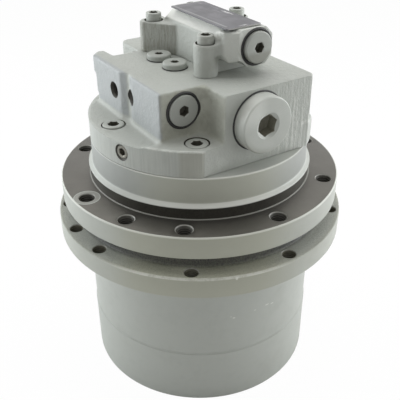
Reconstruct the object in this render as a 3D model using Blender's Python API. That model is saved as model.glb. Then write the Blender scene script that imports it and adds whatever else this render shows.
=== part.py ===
"""Excavator final drive: a piston track motor inside a two stage planetary hub, standing on its end cover."""

import math

import bmesh
import bpy
from mathutils import Matrix, Vector

for leftover in list(bpy.data.objects):
    bpy.data.objects.remove(leftover, do_unlink=True)

mm = 0.001
gap = 0.3 * mm
bigSteps = 40
smallSteps = 12

# Heights, each step stacked on the one below, from the foot of the drum
seamHeight = 48.5 * mm
drumWallHigh = 73.0 * mm
sprocketFlangeThick = 16.5 * mm
sealSpace = 13.1 * mm
frameFlangeThick = 16.9 * mm
pilotStep = 8.9 * mm
caseRise = 21.6 * mm
rimThick = 18.0 * mm
headRise = 35.5 * mm
valveRise = 32.2 * mm
sprocketFlangeLow = seamHeight + drumWallHigh
sprocketFlangeHigh = sprocketFlangeLow + sprocketFlangeThick
frameFlangeLow = sprocketFlangeHigh + sealSpace
frameFlangeHigh = frameFlangeLow + frameFlangeThick
pilotHigh = frameFlangeHigh + pilotStep
coverJoint = pilotHigh + caseRise
rimHigh = coverJoint + rimThick
headHigh = rimHigh + headRise
valveHigh = headHigh + valveRise

# Hub bearings, the lower one hung from the upper one, and the spindle's nut below them
upperSeat = 84.0 * mm
upperBore = 68.0 * mm
upperHigh = sprocketFlangeLow - 1.5 * mm
upperLow = upperHigh - 16.0 * mm
lowerSeat = 75.0 * mm
lowerBore = 58.0 * mm
lowerHigh = upperLow - 12.0 * mm
lowerLow = lowerHigh - 14.0 * mm
upperBearing = dict(bore=upperBore, seat=upperSeat, low=upperLow, high=upperHigh)
lowerBearing = dict(bore=lowerBore, seat=lowerSeat, low=lowerLow, high=lowerHigh)
bearingRelief = 6.0 * mm
ringRun = 0.6 * mm
neckRadius = 65.5 * mm
nutSeat = 56.0 * mm
nutRadius = 64.0 * mm
nutLow = lowerLow - 7.0 * mm
spindleLow = nutLow - 2.5 * mm
hubRib = 71.0 * mm

# Outer radii of the stepped body
hubWall = 7.0 * mm
drumRadius = upperSeat + hubWall
coverLip = 0.6 * mm
endCoverRadius = drumRadius + coverLip
sprocketFlangeReach = 21.6 * mm
sprocketFlangeRadius = drumRadius + sprocketFlangeReach
caseRadius = 83.0 * mm
pilotStand = 2.5 * mm
pilotRadius = caseRadius + pilotStand
pilotRelief = 1.9 * mm
frameFlangeReach = 22.5 * mm
frameFlangeRadius = pilotRadius + frameFlangeReach
edgeChamfer = 0.8 * mm
drumFillet = 1.5 * mm

# Bolt circles of the two flanges, set in from the flange's edge
frameHoleEdge = 10.0 * mm
frameCircle = frameFlangeRadius - frameHoleEdge
frameHoleRadius = 5.1 * mm
frameHoleAngles = (-178.5, -153.3, -128.5, -89.1, -49.1, -9.1, 30.9, 81.5, 131.9)
sprocketHoleEdge = 7.6 * mm
sprocketCircle = sprocketFlangeRadius - sprocketHoleEdge
sprocketHoleRadius = 5.1 * mm
sprocketHoleCount = 9
sprocketFirstAngle = -165.7
sprocketExtraAngle = 175.5

# Floating seal between the hub's upstand and the frame flange
sealSeat = drumRadius + 3.0 * mm
sealBore = drumRadius - 6.7 * mm
sealFloor = sprocketFlangeHigh - 2.3 * mm
sealRingHigh = 8.0 * mm
sealMeet = sealFloor + sealRingHigh
sealLand = sealBore - 2.3 * mm
shoulderRadius = sealLand - 6.0 * mm
shoulderTaper = 4.0 * mm
upstandWall = 3.5 * mm
upstandRadius = sealSeat + upstandWall
upstandHigh = sprocketFlangeHigh + 8.0 * mm

# Planetary gears, both stages run in one ring gear
module = 3.0 * mm
ringTeeth = 45
sunTeeth = 9
planetTeeth = (ringTeeth - sunTeeth) // 2
planetCircle = module * (sunTeeth + planetTeeth) / 2
pressureAngle = math.radians(20)
toothShare = 0.42
addendum = 0.8
dedendum = 1.1
ringGearWall = 4.5 * mm
ringGearRadius = module * (ringTeeth / 2 + dedendum) + ringGearWall
ringGearLow = 12.0 * mm
ringGearHigh = spindleLow + 1.2 * mm
stageOneLow = ringGearLow + mm
stageOneHigh = 31.0 * mm
stageOnePin = 8.0 * mm
carrierRadius = 56.0 * mm
carrierLow = stageOneHigh + 0.5 * mm
carrierHigh = carrierLow + 5.5 * mm
stageTwoLow = carrierHigh + 0.6 * mm
stageTwoHigh = spindleLow - 0.5 * mm
stageTwoPin = 10.0 * mm
pinOverlap = 2.0 * mm
sunBore = 6.8 * mm

# Motor
motorFloor = lowerLow + 10.0 * mm
motorRadius = 48.0 * mm
motorMouth = 56.0 * mm
mouthDepth = 22.0 * mm
mouthTaper = 8.0 * mm
shaftRadius = 13.0 * mm
journalRadius = 15.7 * mm
journalRise = 4.0 * mm
shaftTop = coverJoint + 13.5 * mm
swashRadius = 44.0 * mm
swashHigh = motorFloor + 12.0 * mm
blockRadius = 38.0 * mm
blockLow = swashHigh + 30.0 * mm
blockHigh = coverJoint - 4.5 * mm
pistonCount = 7
pistonCircle = 26.0 * mm
pistonRadius = 6.5 * mm
pistonHigh = blockLow + 38.0 * mm
strokeRoom = 10.0 * mm
feedRadius = 3.0 * mm
slipperRadius = 9.0 * mm
slipperThick = 3.5 * mm
ballNeck = 4.0 * mm
valvePlateRadius = 40.0 * mm

# Socket head screws: shank and head radii, head height, hexagon across flats and its depth
screwM8 = dict(shank=4.0 * mm, radius=6.5 * mm, high=8.0 * mm, across=6.0 * mm, socket=4.0 * mm)
screwM10 = dict(shank=5.0 * mm, radius=8.0 * mm, high=10.0 * mm, across=8.0 * mm, socket=5.0 * mm)

# End cover
floorThick = 9.0 * mm
ledgeWide = 5.3 * mm
gearLedge = ringGearRadius - ledgeWide
coverBoltCount = 6
coverBoltEdge = 7.5 * mm
coverBoltCircle = drumRadius - coverBoltEdge
coverBoltSink = 0.5 * mm
coverBoltGrip = 12.0 * mm
tapRoom = 4.0 * mm
oilPlugCircle = 45.0 * mm
oilPlugCap = dict(radius=9.3 * mm, high=2.8 * mm, across=8.0 * mm, socket=4.5 * mm, bevel=0.6 * mm)
oilPlugThread = 6.9 * mm
oilPlugSeat = 3.5 * mm

# Screws through the rear cover into the case
coverScrewEdge = 12.8 * mm
coverScrewCircle = caseRadius - coverScrewEdge
coverScrewAngles = (177.8, 123.6, 56.4, -2.0, -123.6)
coverScrewFloor = rimHigh - 9.5 * mm
coverScrewLength = 28.0 * mm
coverScrewRoom = 0.75 * mm
coverScrewX = coverScrewCircle * math.cos(math.radians(56.4))
coverScrewY = coverScrewCircle * math.sin(math.radians(56.4))

# Rear cover, a round rim under a square head whose front, left and right faces follow X and Y
headLeft = -coverScrewCircle + 9.2 * mm
headLeftFront = headLeft + 1.5 * mm
headStep = 7.5 * mm
headStepSlope = 1.5 * mm
headRight = 50.5 * mm
headFront = -caseRadius + 12.0 * mm
headBack = caseRadius - 8.0 * mm
pocketFront = -coverScrewY + 12.5 * mm
pocketRight = -coverScrewX + 12.8 * mm
pocketFloor = rimHigh + 1.8 * mm
pocketFloorAngle = -150.0
notchFront = coverScrewY - 15.5 * mm
notchSide = coverScrewX - 11.8 * mm
notchOuter = coverScrewX + 9.4 * mm
cornerRadius = 4.5 * mm
balanceX = 1.8 * mm
balanceZ = headHigh - 22.8 * mm
balanceBore = 10.0 * mm
balanceThread = 17.0 * mm
balanceThreadDepth = 19.0 * mm
balanceSpoolHalf = 38.0 * mm
balanceCap = dict(radius=19.5 * mm, high=11.3 * mm, across=17.0 * mm, socket=8.0 * mm, bevel=2.0 * mm)
pocketPlugX = headLeft + 19.5 * mm
pocketPlugZ = headHigh - 14.4 * mm
pocketCap = dict(radius=11.9 * mm, high=3.6 * mm, across=8.0 * mm, socket=5.0 * mm, bevel=1.0 * mm)
pocketThread = 9.0 * mm
pocketPlugLength = 14.0 * mm
pocketPortDepth = 26.0 * mm
pilotPortRadius = 5.5 * mm
pilotPortDepth = 16.0 * mm
pilotPorts = ((18.3 * mm, headHigh - 16.5 * mm), (-3.4 * mm, headHigh - 16.1 * mm))
mainPortRadius = 9.3 * mm
mainPortSide = 28.0 * mm
mainPortZ = headHigh - 22.0 * mm
mainPortDepth = 18.0 * mm
rimPlugAngle = -161.8
rimPlugZ = coverJoint + 10.2 * mm
rimPlugRadius = 5.5 * mm
rimPortDepth = 12.0 * mm
rimPlugCap = dict(radius=rimPlugRadius - gap, high=4.0 * mm, across=5.0 * mm, socket=3.0 * mm, bevel=0.5 * mm)
gaugeX = -23.3 * mm
gaugeYs = (16.9 * mm, -5.7 * mm)
gaugeCap = dict(radius=8.75 * mm, high=3.4 * mm, across=6.0 * mm, socket=4.0 * mm, bevel=0.6 * mm)
gaugeThread = 5.2 * mm
gaugeLength = 10.0 * mm
gaugePortDepth = 18.0 * mm
spotDepth = 0.8 * mm

# Speed valve block on the head, its spool lies along Y
valveLeft = -8.0 * mm
valveRight = 32.0 * mm
valveFront = -33.0 * mm
valveBack = 34.0 * mm
valveShoulder = valveHigh - 8.0 * mm
valveFlatLeft = 1.0 * mm
valveFlatRight = 24.0 * mm
speedX = 14.2 * mm
speedZ = valveHigh - 13.0 * mm
speedBore = 6.0 * mm
speedThread = 9.3 * mm
speedThreadDepth = 11.5 * mm
speedSpoolHalf = 20.0 * mm
speedCap = dict(radius=11.4 * mm, high=4.7 * mm, across=8.0 * mm, socket=5.0 * mm, bevel=1.2 * mm)
snoutFront = -49.5 * mm
snoutHalf = 13.0 * mm
snoutCorner = 5.0 * mm
bossRadius = 9.3 * mm
bossTop = valveHigh - 10.2 * mm
valveBolts = ((-15.0 * mm, 38.0 * mm), (-13.3 * mm, -31.0 * mm), (39.0 * mm, 8.0 * mm))
boltSeat = bossTop - 2.0 * mm
boltTapFloor = headHigh - 12.0 * mm
plateWide = 28.1 * mm
plateLong = 73.4 * mm
plateThick = 0.8 * mm
plateX = 7.5 * mm
plateY = -8.7 * mm
plateTurn = math.radians(-0.9)


def makeMaterial(name, colour, roughness, metallic):
    material = bpy.data.materials.new(name)
    material.use_nodes = True
    shader = material.node_tree.nodes["Principled BSDF"]
    shader.inputs["Base Color"].default_value = (*colour, 1)
    shader.inputs["Roughness"].default_value = roughness
    shader.inputs["Metallic"].default_value = metallic
    return material


greyPaint = makeMaterial("grey_paint", (0.42, 0.43, 0.39), 0.5, 0.0)
castPaint = makeMaterial("cast_paint", (0.36, 0.37, 0.34), 0.65, 0.0)
brightSteel = makeMaterial("bright_steel", (0.55, 0.56, 0.57), 0.3, 1.0)
gearSteel = makeMaterial("gear_steel", (0.35, 0.35, 0.36), 0.35, 1.0)
plugPaint = makeMaterial("painted_plug", (0.46, 0.47, 0.44), 0.45, 0.0)
sealIron = makeMaterial("seal_iron", (0.2, 0.2, 0.2), 0.4, 0.9)
bronze = makeMaterial("bronze", (0.5, 0.34, 0.16), 0.4, 1.0)
plateMetal = makeMaterial("plate_aluminium", (0.3, 0.3, 0.32), 0.4, 0.6)


def turned(profile, steps, ring=False):
    """A turned solid about Z from (radius, height) points. A third True makes the point's loop a hexagon
    whose radius is half its width across flats. The profile runs from axis to axis, or closes as a ring."""
    mesh = bmesh.new()
    loops = []
    for radius, height, *shape in profile:
        if radius == 0:
            loops.append([mesh.verts.new((0, 0, height))])
            continue
        loop = []
        for step in range(steps):
            angle = math.tau * step / steps
            reach = radius
            if shape:
                reach = radius / math.cos((angle + math.pi / 6) % (math.pi / 3) - math.pi / 6)
            loop.append(mesh.verts.new((reach * math.cos(angle), reach * math.sin(angle), height)))
        loops.append(loop)
    pairs = list(zip(loops, loops[1:]))
    if ring:
        pairs.append((loops[-1], loops[0]))
    for first, second in pairs:
        for step in range(steps):
            after = (step + 1) % steps
            corners = [first[step % len(first)], first[after % len(first)]]
            corners += [second[after % len(second)], second[step % len(second)]]
            mesh.faces.new(list(dict.fromkeys(corners)))
    bmesh.ops.recalc_face_normals(mesh, faces=mesh.faces)
    return mesh


def extruded(outline, low, high):
    """A prism along Z over an outline of (x, y) points."""
    mesh = bmesh.new()
    face = mesh.faces.new([mesh.verts.new((x, y, low)) for x, y in outline])
    grown = bmesh.ops.extrude_face_region(mesh, geom=[face])
    tops = [item for item in grown["geom"] if isinstance(item, bmesh.types.BMVert)]
    bmesh.ops.translate(mesh, verts=tops, vec=(0, 0, high - low))
    bmesh.ops.recalc_face_normals(mesh, faces=mesh.faces)
    return mesh


def rod(radius, low, high, steps=smallSteps):
    return turned(((0, low), (radius, low), (radius, high), (0, high)), steps)


def tube(inner, outer, low, high, steps=bigSteps):
    return turned(((outer, low), (outer, high), (inner, high), (inner, low)), steps, ring=True)


def facing(direction, place):
    """The matrix that turns local +Z to a direction and moves the local origin to a place."""
    turn = Vector(direction).to_track_quat("Z", "Y")
    return Matrix.Translation(Vector(place)) @ turn.to_matrix().to_4x4()


def polar(radius, degrees, height=0.0):
    angle = math.radians(degrees)
    return (radius * math.cos(angle), radius * math.sin(angle), height)


def placed(mesh, matrix):
    mesh.transform(matrix)
    return mesh


def together(meshes):
    """One mesh that holds all the given ones."""
    whole = bmesh.new()
    for mesh in meshes:
        data = bpy.data.meshes.new("step")
        mesh.to_mesh(data)
        mesh.free()
        whole.from_mesh(data)
        bpy.data.meshes.remove(data)
    return whole


def addPiece(name, mesh, material, place=(0, 0, 0)):
    data = bpy.data.meshes.new(name)
    mesh.to_mesh(data)
    mesh.free()
    data.materials.append(material)
    data.shade_smooth()
    data.set_sharp_from_angle(angle=math.radians(30))
    piece = bpy.data.objects.new(name, data)
    piece.location = place
    bpy.context.scene.collection.objects.link(piece)
    return piece


def combine(piece, operation, name, meshes):
    """A Boolean with a hidden helper that holds separate bodies."""
    helper = addPiece(name, together(meshes), piece.data.materials[0])
    helper.hide_render = True
    helper.display_type = "WIRE"
    change = piece.modifiers.new(name, "BOOLEAN")
    change.operation = operation
    change.solver = "EXACT"
    change.object = helper


def arc(centreX, centreY, radius, start, end, steps):
    points = []
    for step in range(steps + 1):
        x, y, _ = polar(radius, start + (end - start) * step / steps)
        points.append((centreX + x, centreY + y))
    return points


def screw(size, length):
    """A socket head screw with its head standing on z = 0 and its shank below."""
    half = size["across"] / 2
    floor = size["high"] - size["socket"]
    profile = [(0, -length), (size["shank"], -length), (size["shank"], 0), (size["radius"], 0)]
    profile += [(size["radius"], size["high"]), (half, size["high"], True), (half, floor, True), (0, floor)]
    return turned(profile, smallSteps)


def plug(cap, thread, length, steps=18):
    """A capped plug: the cap stands on z = 0, with a bevelled rim and a hexagon socket, its thread below."""
    half = cap["across"] / 2
    rim = cap["high"] - cap["bevel"]
    floor = cap["high"] - cap["socket"]
    profile = [(0, -length), (thread, -length), (thread, 0), (cap["radius"], 0), (cap["radius"], rim)]
    profile += [(cap["radius"] - cap["bevel"], cap["high"]), (half, cap["high"], True), (half, floor, True)]
    return turned(profile + [(0, floor)], steps)


def tapped(radius, low, high, steps=smallSteps):
    """A cutter for a tapped hole that opens upwards past high."""
    return rod(radius, low, high + mm, steps)


def involute(angle):
    return math.tan(angle) - angle


def toothHalfAngle(teeth, radius, share):
    """Half of a tooth's angle at a radius, for a tooth with this share of the pitch at the pitch circle."""
    pitchRadius = module * teeth / 2
    base = pitchRadius * math.cos(pressureAngle)
    local = math.acos(min(1.0, base / radius))
    return math.pi * share / teeth + involute(pressureAngle) - involute(local)


def gearOutline(teeth, phase, inward=False):
    """The outline of a gear with a tooth centred on the phase angle, or of a ring gear's inside."""
    pitchRadius = module * teeth / 2
    if inward:
        low = pitchRadius - addendum * module
        high = pitchRadius + dedendum * module
        share = 1 - toothShare
    else:
        low = pitchRadius - dedendum * module
        high = pitchRadius + addendum * module
        share = toothShare
    points = []
    for tooth in range(teeth):
        centre = phase + math.tau * (tooth + (0.5 if inward else 0)) / teeth
        halves = [(radius, toothHalfAngle(teeth, radius, share)) for radius in (low, high)]
        for radius, half in halves:
            points.append((radius * math.cos(centre - half), radius * math.sin(centre - half)))
        for radius, half in reversed(halves):
            points.append((radius * math.cos(centre + half), radius * math.sin(centre + half)))
    return points


def ringPrism(outer, inner, low, high):
    """A prism between two outlines that run the same way round."""
    mesh = bmesh.new()
    edges = []
    for outline in (outer, inner):
        corners = [mesh.verts.new((x, y, low)) for x, y in outline]
        for first, second in zip(corners, corners[1:] + corners[:1]):
            edges.append(mesh.edges.new((first, second)))
    bmesh.ops.triangle_fill(mesh, edges=edges, use_beauty=True)
    grown = bmesh.ops.extrude_face_region(mesh, geom=list(mesh.faces))
    tops = [item for item in grown["geom"] if isinstance(item, bmesh.types.BMVert)]
    bmesh.ops.translate(mesh, verts=tops, vec=(0, 0, high - low))
    bmesh.ops.recalc_face_normals(mesh, faces=mesh.faces)
    return mesh


def circleOutline(radius, steps):
    return arc(0, 0, radius, 0, 360 - 360 / steps, steps - 1)


def makeHubHousing():
    profile = [
        (drumRadius, seamHeight),
        (drumRadius, sprocketFlangeLow - drumFillet),
        (drumRadius + drumFillet, sprocketFlangeLow),
        (sprocketFlangeRadius - edgeChamfer, sprocketFlangeLow),
        (sprocketFlangeRadius, sprocketFlangeLow + edgeChamfer),
        (sprocketFlangeRadius, sprocketFlangeHigh - edgeChamfer),
        (sprocketFlangeRadius - edgeChamfer, sprocketFlangeHigh),
        (upstandRadius, sprocketFlangeHigh),
        (upstandRadius, upstandHigh),
        (sealSeat, upstandHigh),
        (sealSeat, sealFloor),
        (upperBearing["seat"], sealFloor),
        (upperBearing["seat"], upperBearing["low"] - gap),
        (hubRib, upperBearing["low"] - gap),
        (hubRib, lowerBearing["high"] + gap),
        (lowerBearing["seat"], lowerBearing["high"] + gap),
        (lowerBearing["seat"], ringGearHigh + gap),
        (ringGearRadius + gap, ringGearHigh + gap),
        (ringGearRadius + gap, seamHeight),
    ]
    hub = addPiece("hub_housing", turned(profile, bigSteps, ring=True), castPaint)
    holes = []
    angles = [sprocketFirstAngle + 360 / sprocketHoleCount * index for index in range(sprocketHoleCount)]
    for angle in angles + [sprocketExtraAngle]:
        hole = tapped(sprocketHoleRadius, sprocketFlangeLow - mm, sprocketFlangeHigh)
        holes.append(placed(hole, Matrix.Translation(polar(sprocketCircle, angle))))
    for index in range(coverBoltCount):
        hole = rod(screwM8["shank"] + gap, seamHeight - mm, seamHeight + coverBoltGrip + tapRoom)
        holes.append(placed(hole, Matrix.Translation(polar(coverBoltCircle, 360 / coverBoltCount * index))))
    combine(hub, "DIFFERENCE", "hub_holes", holes)


def makeEndCover():
    profile = [
        (0, 0),
        (endCoverRadius - 2 * mm, 0),
        (endCoverRadius, 2 * mm),
        (endCoverRadius, seamHeight - gap),
        (ringGearRadius + gap, seamHeight - gap),
        (ringGearRadius + gap, ringGearLow - gap),
        (gearLedge, ringGearLow - gap),
        (gearLedge, floorThick),
        (0, floorThick),
    ]
    cover = addPiece("end_cover", turned(profile, bigSteps), castPaint)
    holes = []
    headDeep = screwM8["high"] + gap + coverBoltSink
    length = seamHeight + coverBoltGrip - headDeep + gap
    wide = screwM8["radius"] + 0.4 * mm
    slim = screwM8["shank"] + gap
    for index in range(coverBoltCount):
        profile = [(0, -mm), (wide, -mm), (wide, headDeep), (slim, headDeep), (slim, seamHeight + mm)]
        hole = turned(profile + [(0, seamHeight + mm)], smallSteps)
        place = polar(coverBoltCircle, 360 / coverBoltCount * index)
        holes.append(placed(hole, Matrix.Translation(place)))
        bolt = placed(screw(screwM8, length), Matrix.Rotation(math.pi, 4, "X"))
        addPiece(f"cover_bolt_{index + 1}", bolt, brightSteel, (place[0], place[1], headDeep - gap))
    for name, angle in (("fill_plug", 90), ("drain_plug", -90)):
        place = polar(oilPlugCircle, angle)
        wide = oilPlugCap["radius"] + gap
        profile = [(0, -mm), (wide, -mm), (wide, oilPlugSeat), (oilPlugThread, oilPlugSeat)]
        profile += [(oilPlugThread, floorThick + mm), (0, floorThick + mm)]
        hole = turned(profile, smallSteps)
        holes.append(placed(hole, Matrix.Translation(place)))
        length = floorThick - oilPlugSeat - 0.5 * mm
        body = plug(oilPlugCap, oilPlugThread - gap, length, smallSteps)
        body.transform(Matrix.Rotation(math.pi, 4, "X"))
        addPiece(name, body, brightSteel, (place[0], place[1], oilPlugSeat - gap))
    combine(cover, "DIFFERENCE", "end_cover_holes", holes)


def makeSpindle():
    profile = [
        (nutSeat, spindleLow),
        (nutSeat, lowerBearing["low"] - gap),
        (lowerBearing["bore"], lowerBearing["low"] - gap),
        (lowerBearing["bore"], lowerBearing["high"] + gap),
        (neckRadius, lowerBearing["high"] + gap),
        (neckRadius, upperBearing["low"] - bearingRelief),
        (upperBearing["bore"], upperBearing["low"] - bearingRelief),
        (upperBearing["bore"], upperBearing["high"] + gap),
        (shoulderRadius, upperBearing["high"] + gap),
        (shoulderRadius, sprocketFlangeHigh - shoulderTaper),
        (sealLand, sprocketFlangeHigh),
        (sealLand, frameFlangeLow),
        (frameFlangeRadius - edgeChamfer, frameFlangeLow),
        (frameFlangeRadius, frameFlangeLow + edgeChamfer),
        (frameFlangeRadius, frameFlangeHigh - edgeChamfer),
        (frameFlangeRadius - edgeChamfer, frameFlangeHigh),
        (pilotRadius, frameFlangeHigh),
        (pilotRadius, pilotHigh),
        (caseRadius, pilotHigh + pilotRelief),
        (caseRadius, coverJoint),
        (motorMouth, coverJoint),
        (motorMouth, coverJoint - mouthDepth),
        (motorRadius, coverJoint - mouthDepth - mouthTaper),
        (motorRadius, motorFloor),
        (journalRadius + gap, motorFloor),
        (journalRadius + gap, spindleLow),
    ]
    spindle = addPiece("spindle_housing", turned(profile, bigSteps, ring=True), castPaint)
    holes = []
    for angle in frameHoleAngles:
        hole = tapped(frameHoleRadius, frameFlangeLow - mm, frameFlangeHigh)
        holes.append(placed(hole, Matrix.Translation(polar(frameCircle, angle))))
    for angle in coverScrewAngles:
        hole = rod(screwM10["shank"] + gap, coverScrewFloor - coverScrewLength - tapRoom, coverJoint + mm)
        holes.append(placed(hole, Matrix.Translation(polar(coverScrewCircle, angle))))
    combine(spindle, "DIFFERENCE", "spindle_holes", holes)
    pins = []
    for index in range(3):
        pin = rod(stageTwoPin, stageTwoLow, spindleLow + pinOverlap, 16)
        pins.append(placed(pin, Matrix.Translation(polar(planetCircle, 120 * index))))
    combine(spindle, "UNION", "stage_two_pins", pins)


def makeBearings():
    for name, bearing in (("upper", upperBearing), ("lower", lowerBearing)):
        middle = (bearing["bore"] + bearing["seat"]) / 2
        inner = tube(bearing["bore"] + gap, middle - ringRun / 2, bearing["low"], bearing["high"])
        outer = tube(middle + ringRun / 2, bearing["seat"] - gap, bearing["low"], bearing["high"])
        addPiece(f"bearing_inner_{name}", inner, brightSteel)
        addPiece(f"bearing_outer_{name}", outer, brightSteel)
    nut = tube(nutSeat + gap, nutRadius, nutLow, lowerBearing["low"] - 2 * gap)
    addPiece("bearing_nut", nut, gearSteel)
    hubSeal = tube(sealBore, sealSeat - gap, sealFloor + gap, sealMeet)
    addPiece("seal_ring_hub", hubSeal, sealIron)
    caseSeal = tube(sealLand + gap, sealSeat - gap, sealMeet + gap, frameFlangeLow - gap)
    addPiece("seal_ring_case", caseSeal, sealIron)


def makeGears():
    ringOutline = gearOutline(ringTeeth, 0, inward=True)
    ringMesh = ringPrism(circleOutline(ringGearRadius, bigSteps), ringOutline, ringGearLow, ringGearHigh)
    addPiece("ring_gear", ringMesh, gearSteel)
    sunPhase = math.pi / sunTeeth * (planetTeeth % 2)
    sunOutline = gearOutline(sunTeeth, sunPhase)
    bore = circleOutline(sunBore, smallSteps)
    addPiece("sun_1", ringPrism(sunOutline, bore, stageOneLow, stageOneHigh), gearSteel)
    addPiece("sun_2", ringPrism(sunOutline, bore, carrierLow, stageTwoHigh), gearSteel)
    stages = ((1, stageOneLow, stageOneHigh, stageOnePin), (2, stageTwoLow, stageTwoHigh, stageTwoPin))
    for stage, low, high, pin in stages:
        for index in range(3):
            around = math.radians(120 * index)
            phase = (math.pi - (ringTeeth - planetTeeth) * around) / planetTeeth
            hole = circleOutline(pin + gap, 16)
            mesh = ringPrism(gearOutline(planetTeeth, phase), hole, low, high)
            place = polar(planetCircle, 120 * index)
            addPiece(f"planet_{stage}_{index + 1}", mesh, gearSteel, place)
    sunTip = module * (sunTeeth / 2 + addendum)
    carrier = addPiece("carrier_1", tube(sunTip + gap, carrierRadius, carrierLow, carrierHigh), gearSteel)
    pins = []
    for index in range(3):
        pin = rod(stageOnePin, stageOneLow, carrierLow + pinOverlap, 16)
        pins.append(placed(pin, Matrix.Translation(polar(planetCircle, 120 * index))))
    combine(carrier, "UNION", "stage_one_pins", pins)


def makeMotor():
    profile = [
        (0, ringGearLow - mm),
        (sunBore - gap, ringGearLow - mm),
        (sunBore - gap, stageTwoHigh + mm),
        (journalRadius, stageTwoHigh + mm),
        (journalRadius, motorFloor + journalRise),
        (shaftRadius, motorFloor + journalRise),
        (shaftRadius, shaftTop),
        (0, shaftTop),
    ]
    addPiece("drive_shaft", turned(profile, 18), brightSteel)
    swash = tube(journalRadius + gap, swashRadius, motorFloor + gap, swashHigh, 32)
    addPiece("swash_plate", swash, gearSteel)
    block = tube(shaftRadius + gap, blockRadius, blockLow, blockHigh, 36)
    block = addPiece("cylinder_block", block, bronze)
    bores = []
    for index in range(pistonCount):
        place = polar(pistonCircle, 360 / pistonCount * index)
        profile = [
            (0, blockLow - mm),
            (pistonRadius + gap, blockLow - mm),
            (pistonRadius + gap, pistonHigh + strokeRoom),
            (feedRadius, pistonHigh + strokeRoom + feedRadius),
            (feedRadius, blockHigh + mm),
            (0, blockHigh + mm),
        ]
        bores.append(placed(turned(profile, smallSteps), Matrix.Translation(place)))
        foot = swashHigh + gap
        profile = [
            (0, foot),
            (slipperRadius, foot),
            (slipperRadius, foot + slipperThick),
            (ballNeck, foot + slipperThick + ballNeck),
            (pistonRadius, foot + slipperThick + 3 * ballNeck),
            (pistonRadius, pistonHigh),
            (0, pistonHigh),
        ]
        piston = placed(turned(profile, smallSteps), Matrix.Translation(place))
        addPiece(f"piston_{index + 1}", piston, brightSteel)
    combine(block, "DIFFERENCE", "block_bores", bores)
    plate = tube(shaftRadius + gap, valvePlateRadius, blockHigh + gap, coverJoint, 32)
    addPiece("valve_plate", plate, bronze)


def headOutline():
    """The square head seen from above: a pocket at its front left and a notch at each back corner."""
    right = headRight - cornerRadius
    points = [(pocketRight, headFront)]
    points += arc(right, headFront + cornerRadius, cornerRadius, -90, 0, 4)
    points += [(headRight, notchFront), (notchSide, notchFront), (notchSide, headBack)]
    points += [(-notchSide, headBack), (-notchSide, notchFront), (-notchOuter, notchFront)]
    points += [(-notchOuter, notchFront + 15 * mm), (-notchOuter - 4 * mm, notchFront + 15 * mm)]
    points += [(headLeft, notchFront + 4 * mm), (headLeft, headStep)]
    points += [(headLeftFront, headStep - headStepSlope), (headLeftFront, pocketFront)]
    points.append((pocketRight, pocketFront))
    return points


def throughBore(bore, thread, threadDepth, spot, front, back, backSpot):
    """A cutter along local Z: a spool bore with a threaded mouth and a spot face at each end."""
    profile = [(0, front - mm), (spot, front - mm), (spot, front + spotDepth), (thread, front + spotDepth)]
    profile += [(thread, front + threadDepth), (bore, front + threadDepth), (bore, back - threadDepth)]
    profile += [(thread, back - threadDepth), (thread, back - spotDepth), (backSpot, back - spotDepth)]
    return turned(profile + [(backSpot, back + mm), (0, back + mm)], 18)


def blindPort(radius, depth, steps=16):
    """A cutter for a port that opens towards local +Z at z = 0."""
    return turned(((0, -depth), (radius, -depth), (radius, mm), (0, mm)), steps)


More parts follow.
